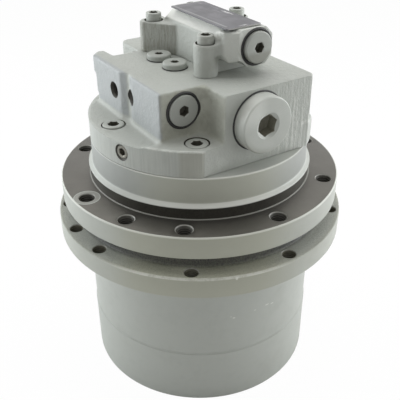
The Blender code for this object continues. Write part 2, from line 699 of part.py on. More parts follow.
def makeRearCover():
    low = coverJoint + gap
    front = math.degrees(math.asin(-headFront / caseRadius))
    back = math.degrees(math.asin(headBack / caseRadius))
    rightSide = arc(0, 0, caseRadius, -front, back, 18)
    leftSide = arc(0, 0, caseRadius, 180 - back, 180 + front, 18)
    rim = extruded(rightSide + leftSide, low, rimHigh)
    cover = addPiece("rear_cover", rim, greyPaint)
    combine(cover, "UNION", "cover_head", [extruded(headOutline(), low, headHigh)])
    pad = arc(0, 0, caseRadius - edgeChamfer, pocketFloorAngle, front - 180, 8)
    pad += [(pocketRight + mm, headFront + edgeChamfer), (pocketRight + mm, pocketFront + mm)]
    pad += [(headLeftFront + mm, pocketFront + mm)]
    combine(cover, "UNION", "pocket_floor", [extruded(pad, rimHigh - mm, pocketFloor)])
    lengthwise = facing((0, 1, 0), (balanceX, 0, balanceZ))
    spot = balanceCap["radius"] + 0.9 * mm
    spoolBore = throughBore(balanceBore, balanceThread, balanceThreadDepth, spot, headFront, headBack, spot)
    cuts = [placed(spoolBore, lengthwise)]
    cuts.append(rod(shaftRadius + gap, low - mm, shaftTop + gap, 18))
    for angle in coverScrewAngles:
        wide = screwM10["radius"] + coverScrewRoom
        slim = screwM10["shank"] + gap
        profile = [(0, low - mm), (slim, low - mm), (slim, coverScrewFloor), (wide, coverScrewFloor)]
        hole = turned(profile + [(wide, pocketFloor + mm), (0, pocketFloor + mm)], 16)
        cuts.append(placed(hole, Matrix.Translation(polar(coverScrewCircle, angle))))
    for gaugeY in gaugeYs:
        port = blindPort(gaugeThread, gaugePortDepth, 12)
        cuts.append(placed(port, Matrix.Translation((gaugeX, gaugeY, headHigh))))
    for x, y in valveBolts:
        deep = headHigh - boltTapFloor
        cuts.append(placed(blindPort(screwM8["shank"] + gap, deep, 12), Matrix.Translation((x, y, headHigh))))
    for (y, z), x in zip(pilotPorts, (headLeft, headLeftFront)):
        cuts.append(placed(blindPort(pilotPortRadius, pilotPortDepth), facing((-1, 0, 0), (x, y, z))))
    for y in (-mainPortSide, mainPortSide):
        port = blindPort(mainPortRadius, mainPortDepth)
        cuts.append(placed(port, facing((1, 0, 0), (headRight, y, mainPortZ))))
    spot = pocketCap["radius"] + 1.2 * mm
    profile = [(0, -pocketPortDepth), (pocketThread, -pocketPortDepth), (pocketThread, -spotDepth)]
    pocket = turned(profile + [(spot, -spotDepth), (spot, mm), (0, mm)], 18)
    cuts.append(placed(pocket, facing((0, -1, 0), (pocketPlugX, pocketFront, pocketPlugZ))))
    rimWay = polar(1, rimPlugAngle)
    rimFace = polar(caseRadius, rimPlugAngle, rimPlugZ)
    cuts.append(placed(blindPort(rimPlugRadius, rimPortDepth, 12), facing(rimWay, rimFace)))
    combine(cover, "DIFFERENCE", "cover_cuts", cuts)


def makeCoverFittings():
    for index, angle in enumerate(coverScrewAngles):
        place = polar(coverScrewCircle, angle, coverScrewFloor + gap)
        addPiece(f"cover_screw_{index + 1}", screw(screwM10, coverScrewLength), plugPaint, place)
    threadLength = balanceThreadDepth - spotDepth - 2 * mm
    for name, side, wall in (("front", -1, headFront), ("back", 1, headBack)):
        mesh = plug(balanceCap, balanceThread - gap, threadLength)
        matrix = facing((0, side, 0), (balanceX, wall - side * (spotDepth - gap), balanceZ))
        addPiece(f"balance_plug_{name}", placed(mesh, matrix), plugPaint)
    mesh = plug(pocketCap, pocketThread - gap, pocketPlugLength)
    seat = pocketFront + spotDepth - gap
    addPiece("side_plug", placed(mesh, facing((0, -1, 0), (pocketPlugX, seat, pocketPlugZ))), plugPaint)
    for index, gaugeY in enumerate(gaugeYs):
        mesh = plug(gaugeCap, gaugeThread - gap, gaugeLength)
        addPiece(f"gauge_plug_{index + 1}", mesh, plugPaint, (gaugeX, gaugeY, headHigh + gap))
    mesh = plug(rimPlugCap, rimPlugRadius - 1.5 * mm, rimPortDepth / 2, smallSteps)
    face = caseRadius - rimPlugCap["high"] - 0.4 * mm
    matrix = facing(polar(1, rimPlugAngle), polar(face, rimPlugAngle, rimPlugZ))
    addPiece("rim_plug", placed(mesh, matrix), plugPaint)
    spool = rod(balanceBore - gap, -balanceSpoolHalf, balanceSpoolHalf, 16)
    spool.transform(facing((0, 1, 0), (0, 0, 0)))
    addPiece("balance_spool", spool, brightSteel, (balanceX, 0, balanceZ))


def makeValveBlock():
    low = headHigh + gap
    ridgeOutline = [
        (valveLeft, low),
        (valveRight, low),
        (valveRight, valveShoulder),
        (valveFlatRight, valveHigh),
        (valveFlatLeft, valveHigh),
        (valveLeft, valveShoulder),
    ]
    standing = Matrix.Rotation(math.pi / 2, 4, "X")
    ridge = placed(extruded(ridgeOutline, -valveBack, -valveFront), standing)
    block = addPiece("valve_block", ridge, greyPaint)
    left = speedX - snoutHalf
    right = speedX + snoutHalf
    bottom = speedZ - snoutHalf
    snoutOutline = [
        (left + snoutCorner, bottom),
        (right - snoutCorner, bottom),
        (right, bottom + snoutCorner),
        (right, valveHigh - snoutCorner),
        (right - snoutCorner, valveHigh),
        (left + snoutCorner, valveHigh),
        (left, valveHigh - snoutCorner),
        (left, bottom + snoutCorner),
    ]
    snout = placed(extruded(snoutOutline, -valveFront - 2 * mm, -snoutFront), standing)
    combine(block, "UNION", "valve_snout", [snout])
    boltX, boltY = valveBolts[0]
    backBoss = [
        (boltX - 10 * mm, boltY - 1.5 * mm),
        (boltX + 4.5 * mm, boltY - 25.5 * mm),
        (valveLeft + 2 * mm, boltY - 25.5 * mm),
        (valveLeft + 2 * mm, boltY + 8 * mm),
        (boltX - 6 * mm, boltY + 8 * mm),
        (boltX - 10 * mm, boltY + 4 * mm),
    ]
    bosses = [extruded(backBoss, low, bossTop)]
    for x, y in valveBolts[1:]:
        bosses.append(placed(rod(bossRadius, low, bossTop, 20), Matrix.Translation((x, y, 0))))
    combine(block, "UNION", "valve_bosses", bosses)
    lengthwise = facing((0, 1, 0), (speedX, 0, speedZ))
    frontSpot = speedCap["radius"] + mm
    depth = speedThreadDepth
    bore = throughBore(speedBore, speedThread, depth, frontSpot, snoutFront, valveBack, frontSpot)
    cuts = [placed(bore, lengthwise)]
    for x, y in valveBolts:
        wide = screwM8["radius"] + 1.1 * mm
        slim = screwM8["shank"] + 0.4 * mm
        profile = [(0, low - mm), (slim, low - mm), (slim, boltSeat), (wide, boltSeat)]
        hole = turned(profile + [(wide, valveHigh + mm), (0, valveHigh + mm)], 16)
        cuts.append(placed(hole, Matrix.Translation((x, y, 0))))
    combine(block, "DIFFERENCE", "valve_cuts", cuts)
    for index, (x, y) in enumerate(valveBolts):
        length = boltSeat + gap - boltTapFloor - 2 * mm
        addPiece(f"valve_bolt_{index + 1}", screw(screwM8, length), plugPaint, (x, y, boltSeat + gap))
    length = speedThreadDepth - spotDepth - mm
    for name, side, wall in (("front", -1, snoutFront), ("back", 1, valveBack)):
        mesh = plug(speedCap, speedThread - gap, length)
        matrix = facing((0, side, 0), (speedX, wall - side * (spotDepth - gap), speedZ))
        addPiece(f"speed_plug_{name}", placed(mesh, matrix), plugPaint)
    spool = rod(speedBore - gap, -speedSpoolHalf, speedSpoolHalf)
    spool.transform(facing((0, 1, 0), (0, 0, 0)))
    addPiece("speed_spool", spool, brightSteel, (speedX, (snoutFront + valveBack) / 2, speedZ))
    halfWide = plateWide / 2
    halfLong = plateLong / 2
    corners = ((-halfWide, -halfLong), (halfWide, -halfLong), (halfWide, halfLong), (-halfWide, halfLong))
    low = valveHigh + gap
    plate = placed(extruded(corners, low, low + plateThick), Matrix.Rotation(plateTurn, 4, "Z"))
    plate.transform(Matrix.Translation((plateX, plateY, 0)))
    addPiece("name_plate", plate, plateMetal)


makeHubHousing()
makeEndCover()
makeSpindle()
makeBearings()
makeGears()
makeMotor()
makeRearCover()
makeCoverFittings()
makeValveBlock()
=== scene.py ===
import math

import bmesh
import bpy
from mathutils import Matrix, Vector


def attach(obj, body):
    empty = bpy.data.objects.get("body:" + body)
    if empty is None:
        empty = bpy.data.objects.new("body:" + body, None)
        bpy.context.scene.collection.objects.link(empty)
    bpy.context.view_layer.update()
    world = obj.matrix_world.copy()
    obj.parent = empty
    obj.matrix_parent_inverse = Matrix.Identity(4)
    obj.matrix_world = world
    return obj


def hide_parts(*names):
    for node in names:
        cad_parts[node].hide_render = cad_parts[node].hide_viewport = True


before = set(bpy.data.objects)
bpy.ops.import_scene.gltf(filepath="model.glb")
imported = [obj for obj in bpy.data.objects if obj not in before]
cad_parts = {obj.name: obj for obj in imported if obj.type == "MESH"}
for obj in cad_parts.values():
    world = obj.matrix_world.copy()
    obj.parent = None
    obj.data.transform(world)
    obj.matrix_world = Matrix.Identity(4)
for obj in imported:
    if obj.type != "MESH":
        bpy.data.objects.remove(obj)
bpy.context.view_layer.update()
mm = 0.001
quarter = math.pi / 2
linings = 3  # material slots that a cut piece may use: its own, its machined holes, its dark sockets

lookRight = (0.843, 0.537)  # the camera's right-hand direction in plan, along x and against y

shape = {  # main sizes and places in mm, for the pieces and for the paints that follow them
    "sprocketFace": 138,
    "sprocketRadius": 112.6,
    "frameFace": 168,
    "frameRadius": 108,
    "frameCircle": 98,
    "padAngle": -178.5,
    "padRadius": 9.9,
    "pilotRadius": 86.1,
    "caseRadius": 83,
    "rimTop": 216.5,
    "headFront": -71,
    "pocketWall": -46,
    "balanceSpot": (1.8, 229.2),
    "pocketSpot": (-41.5, 237.6),
    "speedSpot": (14.4, 271.5),
    "bossTop": 274.6,
    "plateTop": 285.2,
    "threadPitch": 1.75,
}


# Mesh helpers

def lathe(points, steps, ring=False):  # points are (radius, height) or (radius, height, rounding), in mm
    form = bmesh.new()
    corners = [form.verts.new((point[0] * mm, 0, point[1] * mm)) for point in points]
    for first, second in zip(corners, corners[1:] + corners[:1] if ring else corners[1:]):
        form.edges.new((first, second))
    for size in sorted({point[2] for point in points if len(point) > 2}):
        picked = [corner for corner, point in zip(corners, points) if len(point) > 2 and point[2] == size]
        bmesh.ops.bevel(form, geom=picked, offset=size * mm, offset_type="OFFSET", segments=4,
                        profile=0.5, affect="VERTICES", material=-1)
    bmesh.ops.spin(form, geom=form.verts[:] + form.edges[:], cent=(0, 0, 0), axis=(0, 0, 1),
                   angle=math.tau, steps=steps, use_merge=True, use_duplicate=False)
    bmesh.ops.remove_doubles(form, verts=form.verts, dist=1e-6)
    bmesh.ops.recalc_face_normals(form, faces=form.faces)
    return form


def prism(outline, low, high):  # outline points are (x, y) in mm
    form = bmesh.new()
    face = form.faces.new([form.verts.new((x * mm, y * mm, low * mm)) for x, y in outline])
    grown = bmesh.ops.extrude_face_region(form, geom=[face])
    lifted = [item for item in grown["geom"] if isinstance(item, bmesh.types.BMVert)]
    bmesh.ops.translate(form, verts=lifted, vec=(0, 0, (high - low) * mm))
    bmesh.ops.recalc_face_normals(form, faces=form.faces)
    return form


def block(left, front, right, back, low, high):
    return prism([(left, front), (right, front), (right, back), (left, back)], low, high)


def barrel(radius, low, high, steps=48):
    return lathe([(0, low), (radius, low), (radius, high), (0, high)], steps)


def stepped(bore, low, room, seat, high, steps):  # a bore with a wider room over its seat
    return lathe([(0, low), (bore, low), (bore, seat), (room, seat), (room, high), (0, high)], steps)


def hexPrism(across, low, high):
    form = bmesh.new()
    corner = across * mm / math.sqrt(3)
    bmesh.ops.create_cone(form, cap_ends=True, cap_tris=False, segments=6, radius1=corner, radius2=corner,
                          depth=(high - low) * mm)
    bmesh.ops.translate(form, verts=form.verts, vec=(0, 0, (high + low) / 2 * mm))
    return form


def hull(points):  # the closed convex form round points in mm
    form = bmesh.new()
    corners = [form.verts.new((x * mm, y * mm, z * mm)) for x, y, z in points]
    made = bmesh.ops.convex_hull(form, input=corners)
    inner = [item for item in made["geom_interior"] if isinstance(item, bmesh.types.BMVert)]
    bmesh.ops.delete(form, geom=inner, context="VERTS")
    bmesh.ops.recalc_face_normals(form, faces=form.faces)
    return form


def roundArc(centreX, centreY, radius, start, end, steps):
    angles = [math.radians(start + (end - start) * step / steps) for step in range(steps + 1)]
    return [(centreX + radius * math.cos(angle), centreY + radius * math.sin(angle)) for angle in angles]


def placed(form, direction, place):  # local +Z turns to the direction, the local origin goes to place in mm
    turn = Vector(direction).to_track_quat("Z", "Y").to_matrix().to_4x4()
    form.transform(Matrix.Translation(Vector(place) * mm) @ turn)
    return form


def shifted(form, x, y, z=0):
    bmesh.ops.translate(form, verts=form.verts, vec=(x * mm, y * mm, z * mm))
    return form


def polar(radius, degrees, height=0):
    angle = math.radians(degrees)
    return (radius * math.cos(angle), radius * math.sin(angle), height)


def together(forms):
    whole = bmesh.new()
    for form in forms:
        data = bpy.data.meshes.new("part")
        form.to_mesh(data)
        form.free()
        whole.from_mesh(data)
        bpy.data.meshes.remove(data)
    return whole


def standIn(form, name):  # a short-lived object for a modifier to work on
    data = bpy.data.meshes.new(name)
    form.to_mesh(data)
    form.free()
    for _ in range(linings):
        data.materials.append(None)
    item = bpy.data.objects.new(name, data)
    bpy.context.scene.collection.objects.link(item)
    return item


def applied(item, helpers=()):
    graph = bpy.context.evaluated_depsgraph_get()
    result = bpy.data.meshes.new_from_object(item.evaluated_get(graph), depsgraph=graph)
    form = bmesh.new()
    form.from_mesh(result)
    bpy.data.meshes.remove(result)
    for used in (item, *helpers):
        data = used.data
        bpy.data.objects.remove(used)
        bpy.data.meshes.remove(data)
    return form


def carved(form, cutters, operation="DIFFERENCE", lining=0):  # cut faces take that material slot
    for cutter in cutters:
        for face in cutter.faces:
            face.material_index = lining
    item = standIn(form, "blank")
    tool = standIn(together(cutters), "tool")
    change = item.modifiers.new("cut", "BOOLEAN")
    change.operation = operation
    change.solver = "EXACT"
    change.object = tool
    return applied(item, [tool])


def cast(forms, voxel, rounds, softer=()):  # one skin round rough forms, softened, in some zones more
    item = standIn(together(forms), "mould")
    change = item.modifiers.new("skin", "REMESH")
    change.mode = "VOXEL"
    change.voxel_size = voxel * mm
    skin = applied(item)
    for _ in range(rounds):
        bmesh.ops.smooth_vert(skin, verts=skin.verts, factor=0.5, use_axis_x=True, use_axis_y=True,
                              use_axis_z=True)
    for low, high, extra in softer:
        picked = [vert for vert in skin.verts if low * mm < vert.co.z < high * mm]
        for _ in range(extra):
            bmesh.ops.smooth_vert(skin, verts=picked, factor=0.5, use_axis_x=True, use_axis_y=True,
                                  use_axis_z=True)
    bmesh.ops.dissolve_limit(skin, angle_limit=math.radians(0.6), use_dissolve_boundaries=False,
                             verts=skin.verts, edges=skin.edges)
    return skin


def finished(form, name, body, paints, replaced=(), sharp=32, weighted=False):
    data = bpy.data.meshes.new(name)
    form.to_mesh(data)
    form.free()
    data.shade_smooth()
    data.set_sharp_from_angle(angle=math.radians(sharp))
    for paint in paints:
        data.materials.append(paint)
    piece = bpy.data.objects.new(name, data)
    bpy.context.scene.collection.objects.link(piece)
    if weighted:
        change = piece.modifiers.new("flats", "WEIGHTED_NORMAL")
        change.keep_sharp = True
    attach(piece, body)
    if replaced:
        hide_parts(*replaced)


def threadCutter(radius, depth, pitch, ridge, mouth):  # opens upwards at z = 0
    points = [(0, -depth)]
    level = -depth
    while level < -mouth - pitch:
        points += [(radius, level), (radius + ridge, level + pitch / 2)]
        level += pitch
    points += [(radius, level), (radius + ridge, -mouth), (radius + ridge + mouth, 0)]
    points += [(radius + ridge + mouth, 2), (0, 2)]
    return lathe(points, 40)


# Shader helpers

class Signal:  # one socket, so that an expression on values adds its Math nodes
    def __init__(self, paint, socket):
        self.paint = paint
        self.socket = socket

    def maths(self, operation, first, second):
        return self.paint.node("Math", {"operation": operation}, {0: first, 1: second})

    def __add__(self, other):
        return self.maths("ADD", self, other)

    def __radd__(self, other):
        return self.maths("ADD", other, self)

    def __sub__(self, other):
        return self.maths("SUBTRACT", self, other)

    def __rsub__(self, other):
        return self.maths("SUBTRACT", other, self)

    def __mul__(self, other):
        return self.maths("MULTIPLY", self, other)

    def __rmul__(self, other):
        return self.maths("MULTIPLY", other, self)

    def __truediv__(self, other):
        return self.maths("DIVIDE", self, other)

    def __rtruediv__(self, other):
        return self.maths("DIVIDE", other, self)

    def __pow__(self, other):
        return self.maths("POWER", self, other)


class Paint:  # one material and the nodes that make it
    def __init__(self, name, **constants):
        self.material = bpy.data.materials.new(name)
        self.material.use_nodes = True
        self.tree = self.material.node_tree
        self.shader = self.tree.nodes["Principled BSDF"]
        for socket, value in constants.items():
            self.shader.inputs[socket.replace("_", " ")].default_value = value
        self.spot = self.node("TexCoord", output="Object")
        self.colour = self.shine = self.height = None
        self.metal = constants.get("Metallic", 0.0)

    def node(self, kind, settings=None, values=None, output=0):
        made = self.tree.nodes.new("ShaderNode" + kind)
        for key, value in (settings or {}).items():
            setattr(made, key, value)
        for key, value in (values or {}).items():
            if isinstance(value, Signal):
                self.tree.links.new(value.socket, made.inputs[key])
            else:
                made.inputs[key].default_value = value
        return Signal(self, made.outputs[output])

    def scaled(self, x, y, z):
        return self.node("Mapping", {"vector_type": "POINT"}, {"Vector": self.spot, "Scale": (x, y, z)})

    def noise(self, scale, detail=2.0, roughness=0.5, stretch=None):
        where = self.scaled(*stretch) if stretch else self.spot
        return self.node("TexNoise", None, {"Vector": where, "Scale": scale, "Detail": detail,
                                            "Roughness": roughness})

    def blend(self, factor, first, second):
        colours = [value if isinstance(value, Signal) else (*value, 1) for value in (first, second)]
        return self.node("Mix", {"data_type": "RGBA"}, {0: factor, 6: colours[0], 7: colours[1]}, output=2)

    def between(self, signal, low, high, start=0.0, end=1.0):
        return self.node("MapRange", {"interpolation_type": "SMOOTHSTEP"},
                         {0: signal, 1: low, 2: high, 3: start, 4: end})

    def axes(self):
        split = self.node("SeparateXYZ", None, {0: self.spot})
        made = split.socket.node
        return [Signal(self, made.outputs[axis]) for axis in range(3)]

    def distance(self, first, second):
        return ((first * first) + (second * second)) ** 0.5

    def band(self, signal, low, high, soft):
        return self.between(signal, low - soft, low) * self.between(signal, high, high + soft, 1.0, 0.0)

    def past(self, signal, base, low, high, start=0.0, end=1.0):  # a step between places in mm from a base
        return self.between(signal, (base + low) * mm, (base + high) * mm, start, end)

    def zone(self, signal, base, low, high, soft):  # a band between places in mm from a base
        return self.band(signal, (base + low) * mm, (base + high) * mm, soft * mm)

    def rings(self, distance, pitch):  # a wave that repeats over the distance, with its pitch in mm
        return self.node("Math", {"operation": "SINE"}, {0: distance * (math.tau / (pitch * mm))})

    def across(self, x, y):  # how far to the right, as seen by the camera
        return x * lookRight[0] - y * lookRight[1]

    def facing(self, x, y):  # the front quarter of the round housings, where painted light and shade go
        return self.zone(self.across(x, y), 0, -36, 36, 40) * self.past(y, 0, -20, -60)

    def level(self, factor, first, second):
        return self.node("Mix", {"data_type": "FLOAT"}, {0: factor, 2: first, 3: second})

    def layer(self, mask, tone, shine=None, metal=None):
        self.colour = self.blend(mask, self.colour, tone)
        if shine is not None:
            self.shine = self.level(mask, self.shine, shine)
        if metal is not None:
            self.metal = self.level(mask, self.metal, metal)

    def bump(self, height, strength, reach):
        return self.node("Bump", None, {"Height": height, "Strength": strength, "Distance": reach})

    def feed(self, **sockets):
        for socket, signal in sockets.items():
            self.tree.links.new(signal.socket, self.shader.inputs[socket.replace("_", " ")])
        return self.material

    def done(self, strength=0.55, reach=0.0006):
        if isinstance(self.metal, Signal):
            self.feed(Metallic=self.metal)
        return self.feed(Base_Color=self.colour, Roughness=self.shine,
                         Normal=self.bump(self.height, strength, reach))


def tint(red, green, blue):  # a screen colour out of 255 as the shader reads it
    return tuple(level / 255 / 12.92 if level <= 10 else ((level / 255 + 0.055) / 1.055) ** 2.4
                 for level in (red, green, blue))


# Finishes

print("mixing the finishes")
# tones, some of which paint light and shade: the grime tone also paints shade, the primer tone also paints
# highlights, the olive tone paints shade on faces turned to the front, and the darkest tone paints a shadow
enamelTones = {
    "body": tint(174, 177, 171),
    "pale": tint(214, 216, 210),
    "olive": tint(168, 168, 150),
    "grime": tint(120, 118, 106),
    "oily": tint(52, 53, 51),
    "primer": tint(226, 227, 220),
}


def enamel(name, grain=0.05, grime=0.12, dark=1.0, rough=0.42):
    paint = Paint(name, IOR=1.45)
    body = tuple(level * dark for level in enamelTones["body"])
    mottle = paint.noise(150, 4, 0.6)
    paint.colour = paint.blend(paint.between(paint.noise(11, 3), 0.35, 0.68) * 0.35, body,
                               tuple(level * 1.08 for level in body))
    paint.layer(paint.between(mottle, 0.45, 0.75) * 0.2, tuple(level * 0.86 for level in body))
    dirt = paint.between(paint.noise(34, 5, 0.62), 0.52, 0.74) * grime
    paint.layer(dirt, enamelTones["grime"])
    paint.height = paint.noise(620, 3, 0.55) * grain + paint.noise(95, 2) * (grain * 1.5)
    paint.shine = rough + mottle * 0.12 - dirt * 0.2
    return paint


def plainSteel(name, tone, rough, rings=0.0):
    paint = Paint(name, Metallic=1.0)
    cloudy = paint.between(paint.noise(40, 4, 0.6), 0.4, 0.7)
    fine = paint.noise(900, 2, 0.5)
    paint.colour = paint.blend(cloudy * 0.3, tone, tuple(level * 0.6 for level in tone))
    paint.height = fine * 0.15
    if rings:
        x, y, _ = paint.axes()
        paint.height = paint.height + paint.rings(paint.distance(x, y), rings) * 0.25
    paint.shine = fine * 0.16 + cloudy * 0.12 + (rough - 0.1)
    return paint.done(0.35, 0.0002)


def marks(paint, spots, tone):  # small scuffs at (x, y, z, half wide, half tall) in mm
    warp = paint.noise(260, 3, 0.6)
    x, y, z = paint.axes()
    for placeX, placeY, placeZ, wide, tall in spots:
        flat = paint.distance((x - placeX * mm) / (wide * mm), (y - placeY * mm) / (wide * mm))
        reach = paint.distance(flat, (z - placeZ * mm) / (tall * mm))
        paint.layer(paint.between(reach + warp * 1.2, 1.5, 1.1) * 0.7, tone)


def drumEnamel():
    paint = enamel("drumEnamel")
    x, y, z = paint.axes()
    radius = paint.distance(x, y)
    front = paint.facing(x, y)
    face, edge = shape["sprocketFace"], shape["sprocketRadius"]
    # painted shade: an olive tint on the flange sides, strongest on the front quarter
    paint.layer(paint.past(radius, edge, -3.1, -1.6) * (front * 0.5 + 0.2), enamelTones["olive"])
    top = paint.past(z, face, -0.8, -0.2)
    rough = paint.noise(520, 4, 0.65)
    grit = paint.between(paint.noise(900, 3, 0.7), 0.42, 0.62)
    # painted light: a paler tone on the front of the sprocket flange's top
    paint.layer(top * (front * 0.6 + 0.2), tint(184, 184, 163))
    shade = paint.past(radius, edge, -11.1, -16.6) * 0.8 + rough * 0.22 + grit * 0.14
    paint.layer(top * shade, tint(54, 55, 57), 0.6)
    paint.height = paint.height + top * (rough * 0.9 + grit * 0.4)
    # a painted highlight along the front of the flange's top edge, broken up by noise like wear
    wearAndHighlight = paint.zone(z, face, -1.3, 0, 0.3) * paint.past(radius, edge, -1.8, -1.2) * front
    wearAndHighlight = wearAndHighlight * (paint.between(paint.noise(130, 4, 0.7), 0.36, 0.52) * 0.35 + 0.3)
    paint.layer(wearAndHighlight, enamelTones["primer"])
    marks(paint, [(2.4, -90.9, 84.6, 2.6, 0.5), (7.5, -90.7, 83.4, 2.2, 0.6), (-8.7, -90.5, 84, 1.2, 0.4),
                  (-25.8, -87.4, 82, 1.6, 0.8), (-28.1, -86.6, 83.5, 1.0, 0.5), (-38, -106, 136.6, 1.2, 1.6)],
          enamelTones["primer"])
    return paint.done()


def caseEnamel():
    paint = enamel("caseEnamel")
    x, y, z = paint.axes()
    radius = paint.distance(x, y)
    front = paint.facing(x, y)
    face, edge = shape["frameFace"], shape["frameRadius"]
    inner, pilot = shape["caseRadius"], shape["pilotRadius"]
    # painted shade: an olive tint on the frame flange's rim, strongest on the front quarter
    paint.layer(paint.past(radius, edge, -1.5, -0.5) * (front * 0.55 + 0.12), enamelTones["olive"])
    # on the case wall, painted shade: an olive tint on the front quarter and a darker grey on the sides and
    # back
    wall = paint.zone(z, face, 11.7, 30.5, 0.3) * paint.past(radius, inner, -0.8, -0.4)
    paint.layer(wall * front * 0.5, enamelTones["olive"])
    paint.layer(wall * (1 - front) * 0.6, tint(136, 138, 136))
    # a painted highlight along the frame flange's top outer edge
    rim = paint.zone(z, face, -1, 0, 0.2) * paint.past(radius, edge, -1.2, -0.7)
    paint.layer(rim * 0.5, enamelTones["primer"], 0.34)
    # painted highlights on the lip at the foot of the case wall and on the wall's top edge
    lips = (paint.zone(z, face, 9.1, 11.3, 0.2) * paint.past(radius, inner, -0.4, -0.1)
            + paint.zone(z, face, 29.3, 30.4, 0.2) * paint.past(radius, inner, -0.8, -0.5) * 0.5)
    paint.layer(lips * (front * 0.5 + 0.12), enamelTones["primer"], 0.3)
    crown = paint.zone(z, face, 29.7, 30.8, 0.2) * paint.past(radius, inner, -1, -0.6)
    paint.layer(crown * (front * 0.4 + 0.35), enamelTones["primer"], 0.34)
    grain = paint.noise(700, 3, 0.6)
    machined = paint.past(z, face, -0.2, -0.1)
    top = machined * paint.zone(radius, 0, pilot + 0.3, edge - 1, 0.2) * paint.past(z, face, 1.5, 2, 1.0, 0.0)
    padX, padY, _ = polar(shape["frameCircle"], shape["padAngle"])
    apart = paint.distance(x - padX * mm, y - padY * mm)
    top = top * paint.past(apart, shape["padRadius"], -0.3, 0)
    ring = paint.zone(apart, shape["padRadius"], -4, -0.9, 0.3) * machined
    paint.layer(ring * 0.75, tint(134, 133, 126), 0.5)
    paint.layer(top, paint.blend(paint.noise(60, 4, 0.6), tint(94, 92, 87), tint(112, 110, 104)),
                grain * 0.16 + 0.26, 0.9)
    paint.height = paint.height + top * (paint.rings(radius, 0.7) * 0.06 + grain * 0.1)
    neck = paint.zone(z, face, 0.6, 8.6, 0.1) * paint.zone(radius, pilot, -1.6, 0.2, 0.2)
    paint.layer(neck, paint.blend(grain, tint(40, 38, 34), tint(70, 68, 62)), 0.42, 0.3)
    foot = paint.zone(z, face, -0.1, 0.4, 0.1) * paint.zone(radius, pilot, -0.7, -0.1, 0.1)
    paint.layer(foot, tint(140, 139, 132), 0.5, 0.0)
    return paint.done()


def coverEnamel():
    paint = enamel("coverEnamel", grain=0.14, grime=0.22)
    x, y, z = paint.axes()
    radius = paint.distance(x, y)
    inner, lip = shape["caseRadius"], shape["rimTop"]
    rim = paint.past(radius, inner, -1.2, -0.6) * paint.past(z, lip, 0.5, 1.5, 1.0, 0.0)
    fine = paint.noise(620, 3, 0.6, stretch=(1, 1, 0.03))
    broad = paint.noise(420, 4, 0.65, stretch=(1, 1, 0.07))
    flat = paint.past(y, shape["headFront"], 0.4, 0.1) * paint.past(x, 0, -4, 30)
    streaks = fine * (rim * 0.8 + 0.05) + broad * (flat * 1.5)
    paint.layer(paint.between(fine, 0.42, 0.62) * rim * 0.5, tuple(v * 0.84 for v in enamelTones["body"]))
    paint.layer(paint.between(broad, 0.5, 0.64) * flat * 0.4, enamelTones["pale"])
    facet = rim * paint.zone(paint.across(x, y), 0, -11, 5, 4) * paint.past(y, 0, -50, -60)
    paint.layer(facet * 0.6, tint(160, 160, 149))
    # painted light: a cool tint on the faces turned to the left
    left = paint.past(x, 0, -56.8, -58) * paint.past(z, lip, 3, 5)
    paint.layer(left * 0.85, tint(163, 167, 168))
    # a painted highlight along the rim's top edge, broken up by noise
    edge = paint.zone(z, lip, 0.3, 2.5, 0.4) * paint.past(radius, inner, -1.8, -1.2)
    paint.layer(edge * paint.between(paint.noise(170, 4, 0.7), 0.3, 0.6) * 0.6, enamelTones["pale"], 0.34)
    # painted shade in the side pocket: an olive tone, with cloudy grime over it
    pocket = paint.past(x, shape["pocketSpot"][0], 17.5, 15.3) * paint.past(y, shape["pocketWall"], 1, -0.2)
    pocket = pocket * paint.past(z, lip, 1.3, 4)
    paint.layer(pocket * 0.45, enamelTones["olive"], 0.5)
    cloudy = paint.between(paint.noise(140, 4, 0.65), 0.42, 0.66)
    paint.layer(pocket * cloudy * 0.3, enamelTones["grime"])
    paint.height = paint.height + streaks + paint.noise(260, 4, 0.66) * (1 - rim) * 2.0
    return paint.done()


def valveEnamel():
    paint = enamel("valveEnamel", grain=0.13, grime=0.2)
    x, y, z = paint.axes()
    top = shape["bossTop"]
    spoolX, spoolZ = shape["speedSpot"]
    lines = paint.noise(900, 3, 0.6, stretch=(1, 1, 0.12))
    boss = paint.past(x, 0, -8.5, -9.5) * paint.past(y, 0, 12.5, 14.5)
    boss = boss * paint.past(z, top, -1.1, -0.1, 1.0, 0.0)
    # painted shade darkens the bolt boss, more towards its foot; the lines are streaks in the casting
    paint.layer(boss * 0.3, enamelTones["grime"], 0.5)
    paint.layer(boss * paint.between(lines, 0.46, 0.62) * 0.4, enamelTones["grime"])
    paint.layer(boss * paint.past(z, top, -10.6, -20.6) * 0.3, enamelTones["grime"])
    # painted light on the snout's cheek
    cheek = paint.past(y, 0, -32, -35) * paint.past(z, spoolZ, -10, -8) * paint.past(x, 0, -8.5, -6.5)
    paint.layer(cheek * 0.6, enamelTones["pale"])
    # painted light on the ridge's left slope
    slope = paint.past(z, spoolZ, 4.7, 6) * paint.past(x, 0, 1.5, 0.5) * paint.past(y, 0, -40, -35)
    paint.layer(slope, tint(226, 227, 221))
    # a painted shadow under the name plate's front edge
    under = paint.zone(y, 0, -47, -45.7, 0.3) * paint.past(z, spoolZ, 10, 10.7)
    paint.layer(under * paint.zone(x, spoolX, -10.9, 6.6, 1) * 0.7, enamelTones["oily"])
    paint.height = paint.height + lines * boss * 0.6 + paint.noise(260, 4, 0.66) * 2.0
    return paint.done()


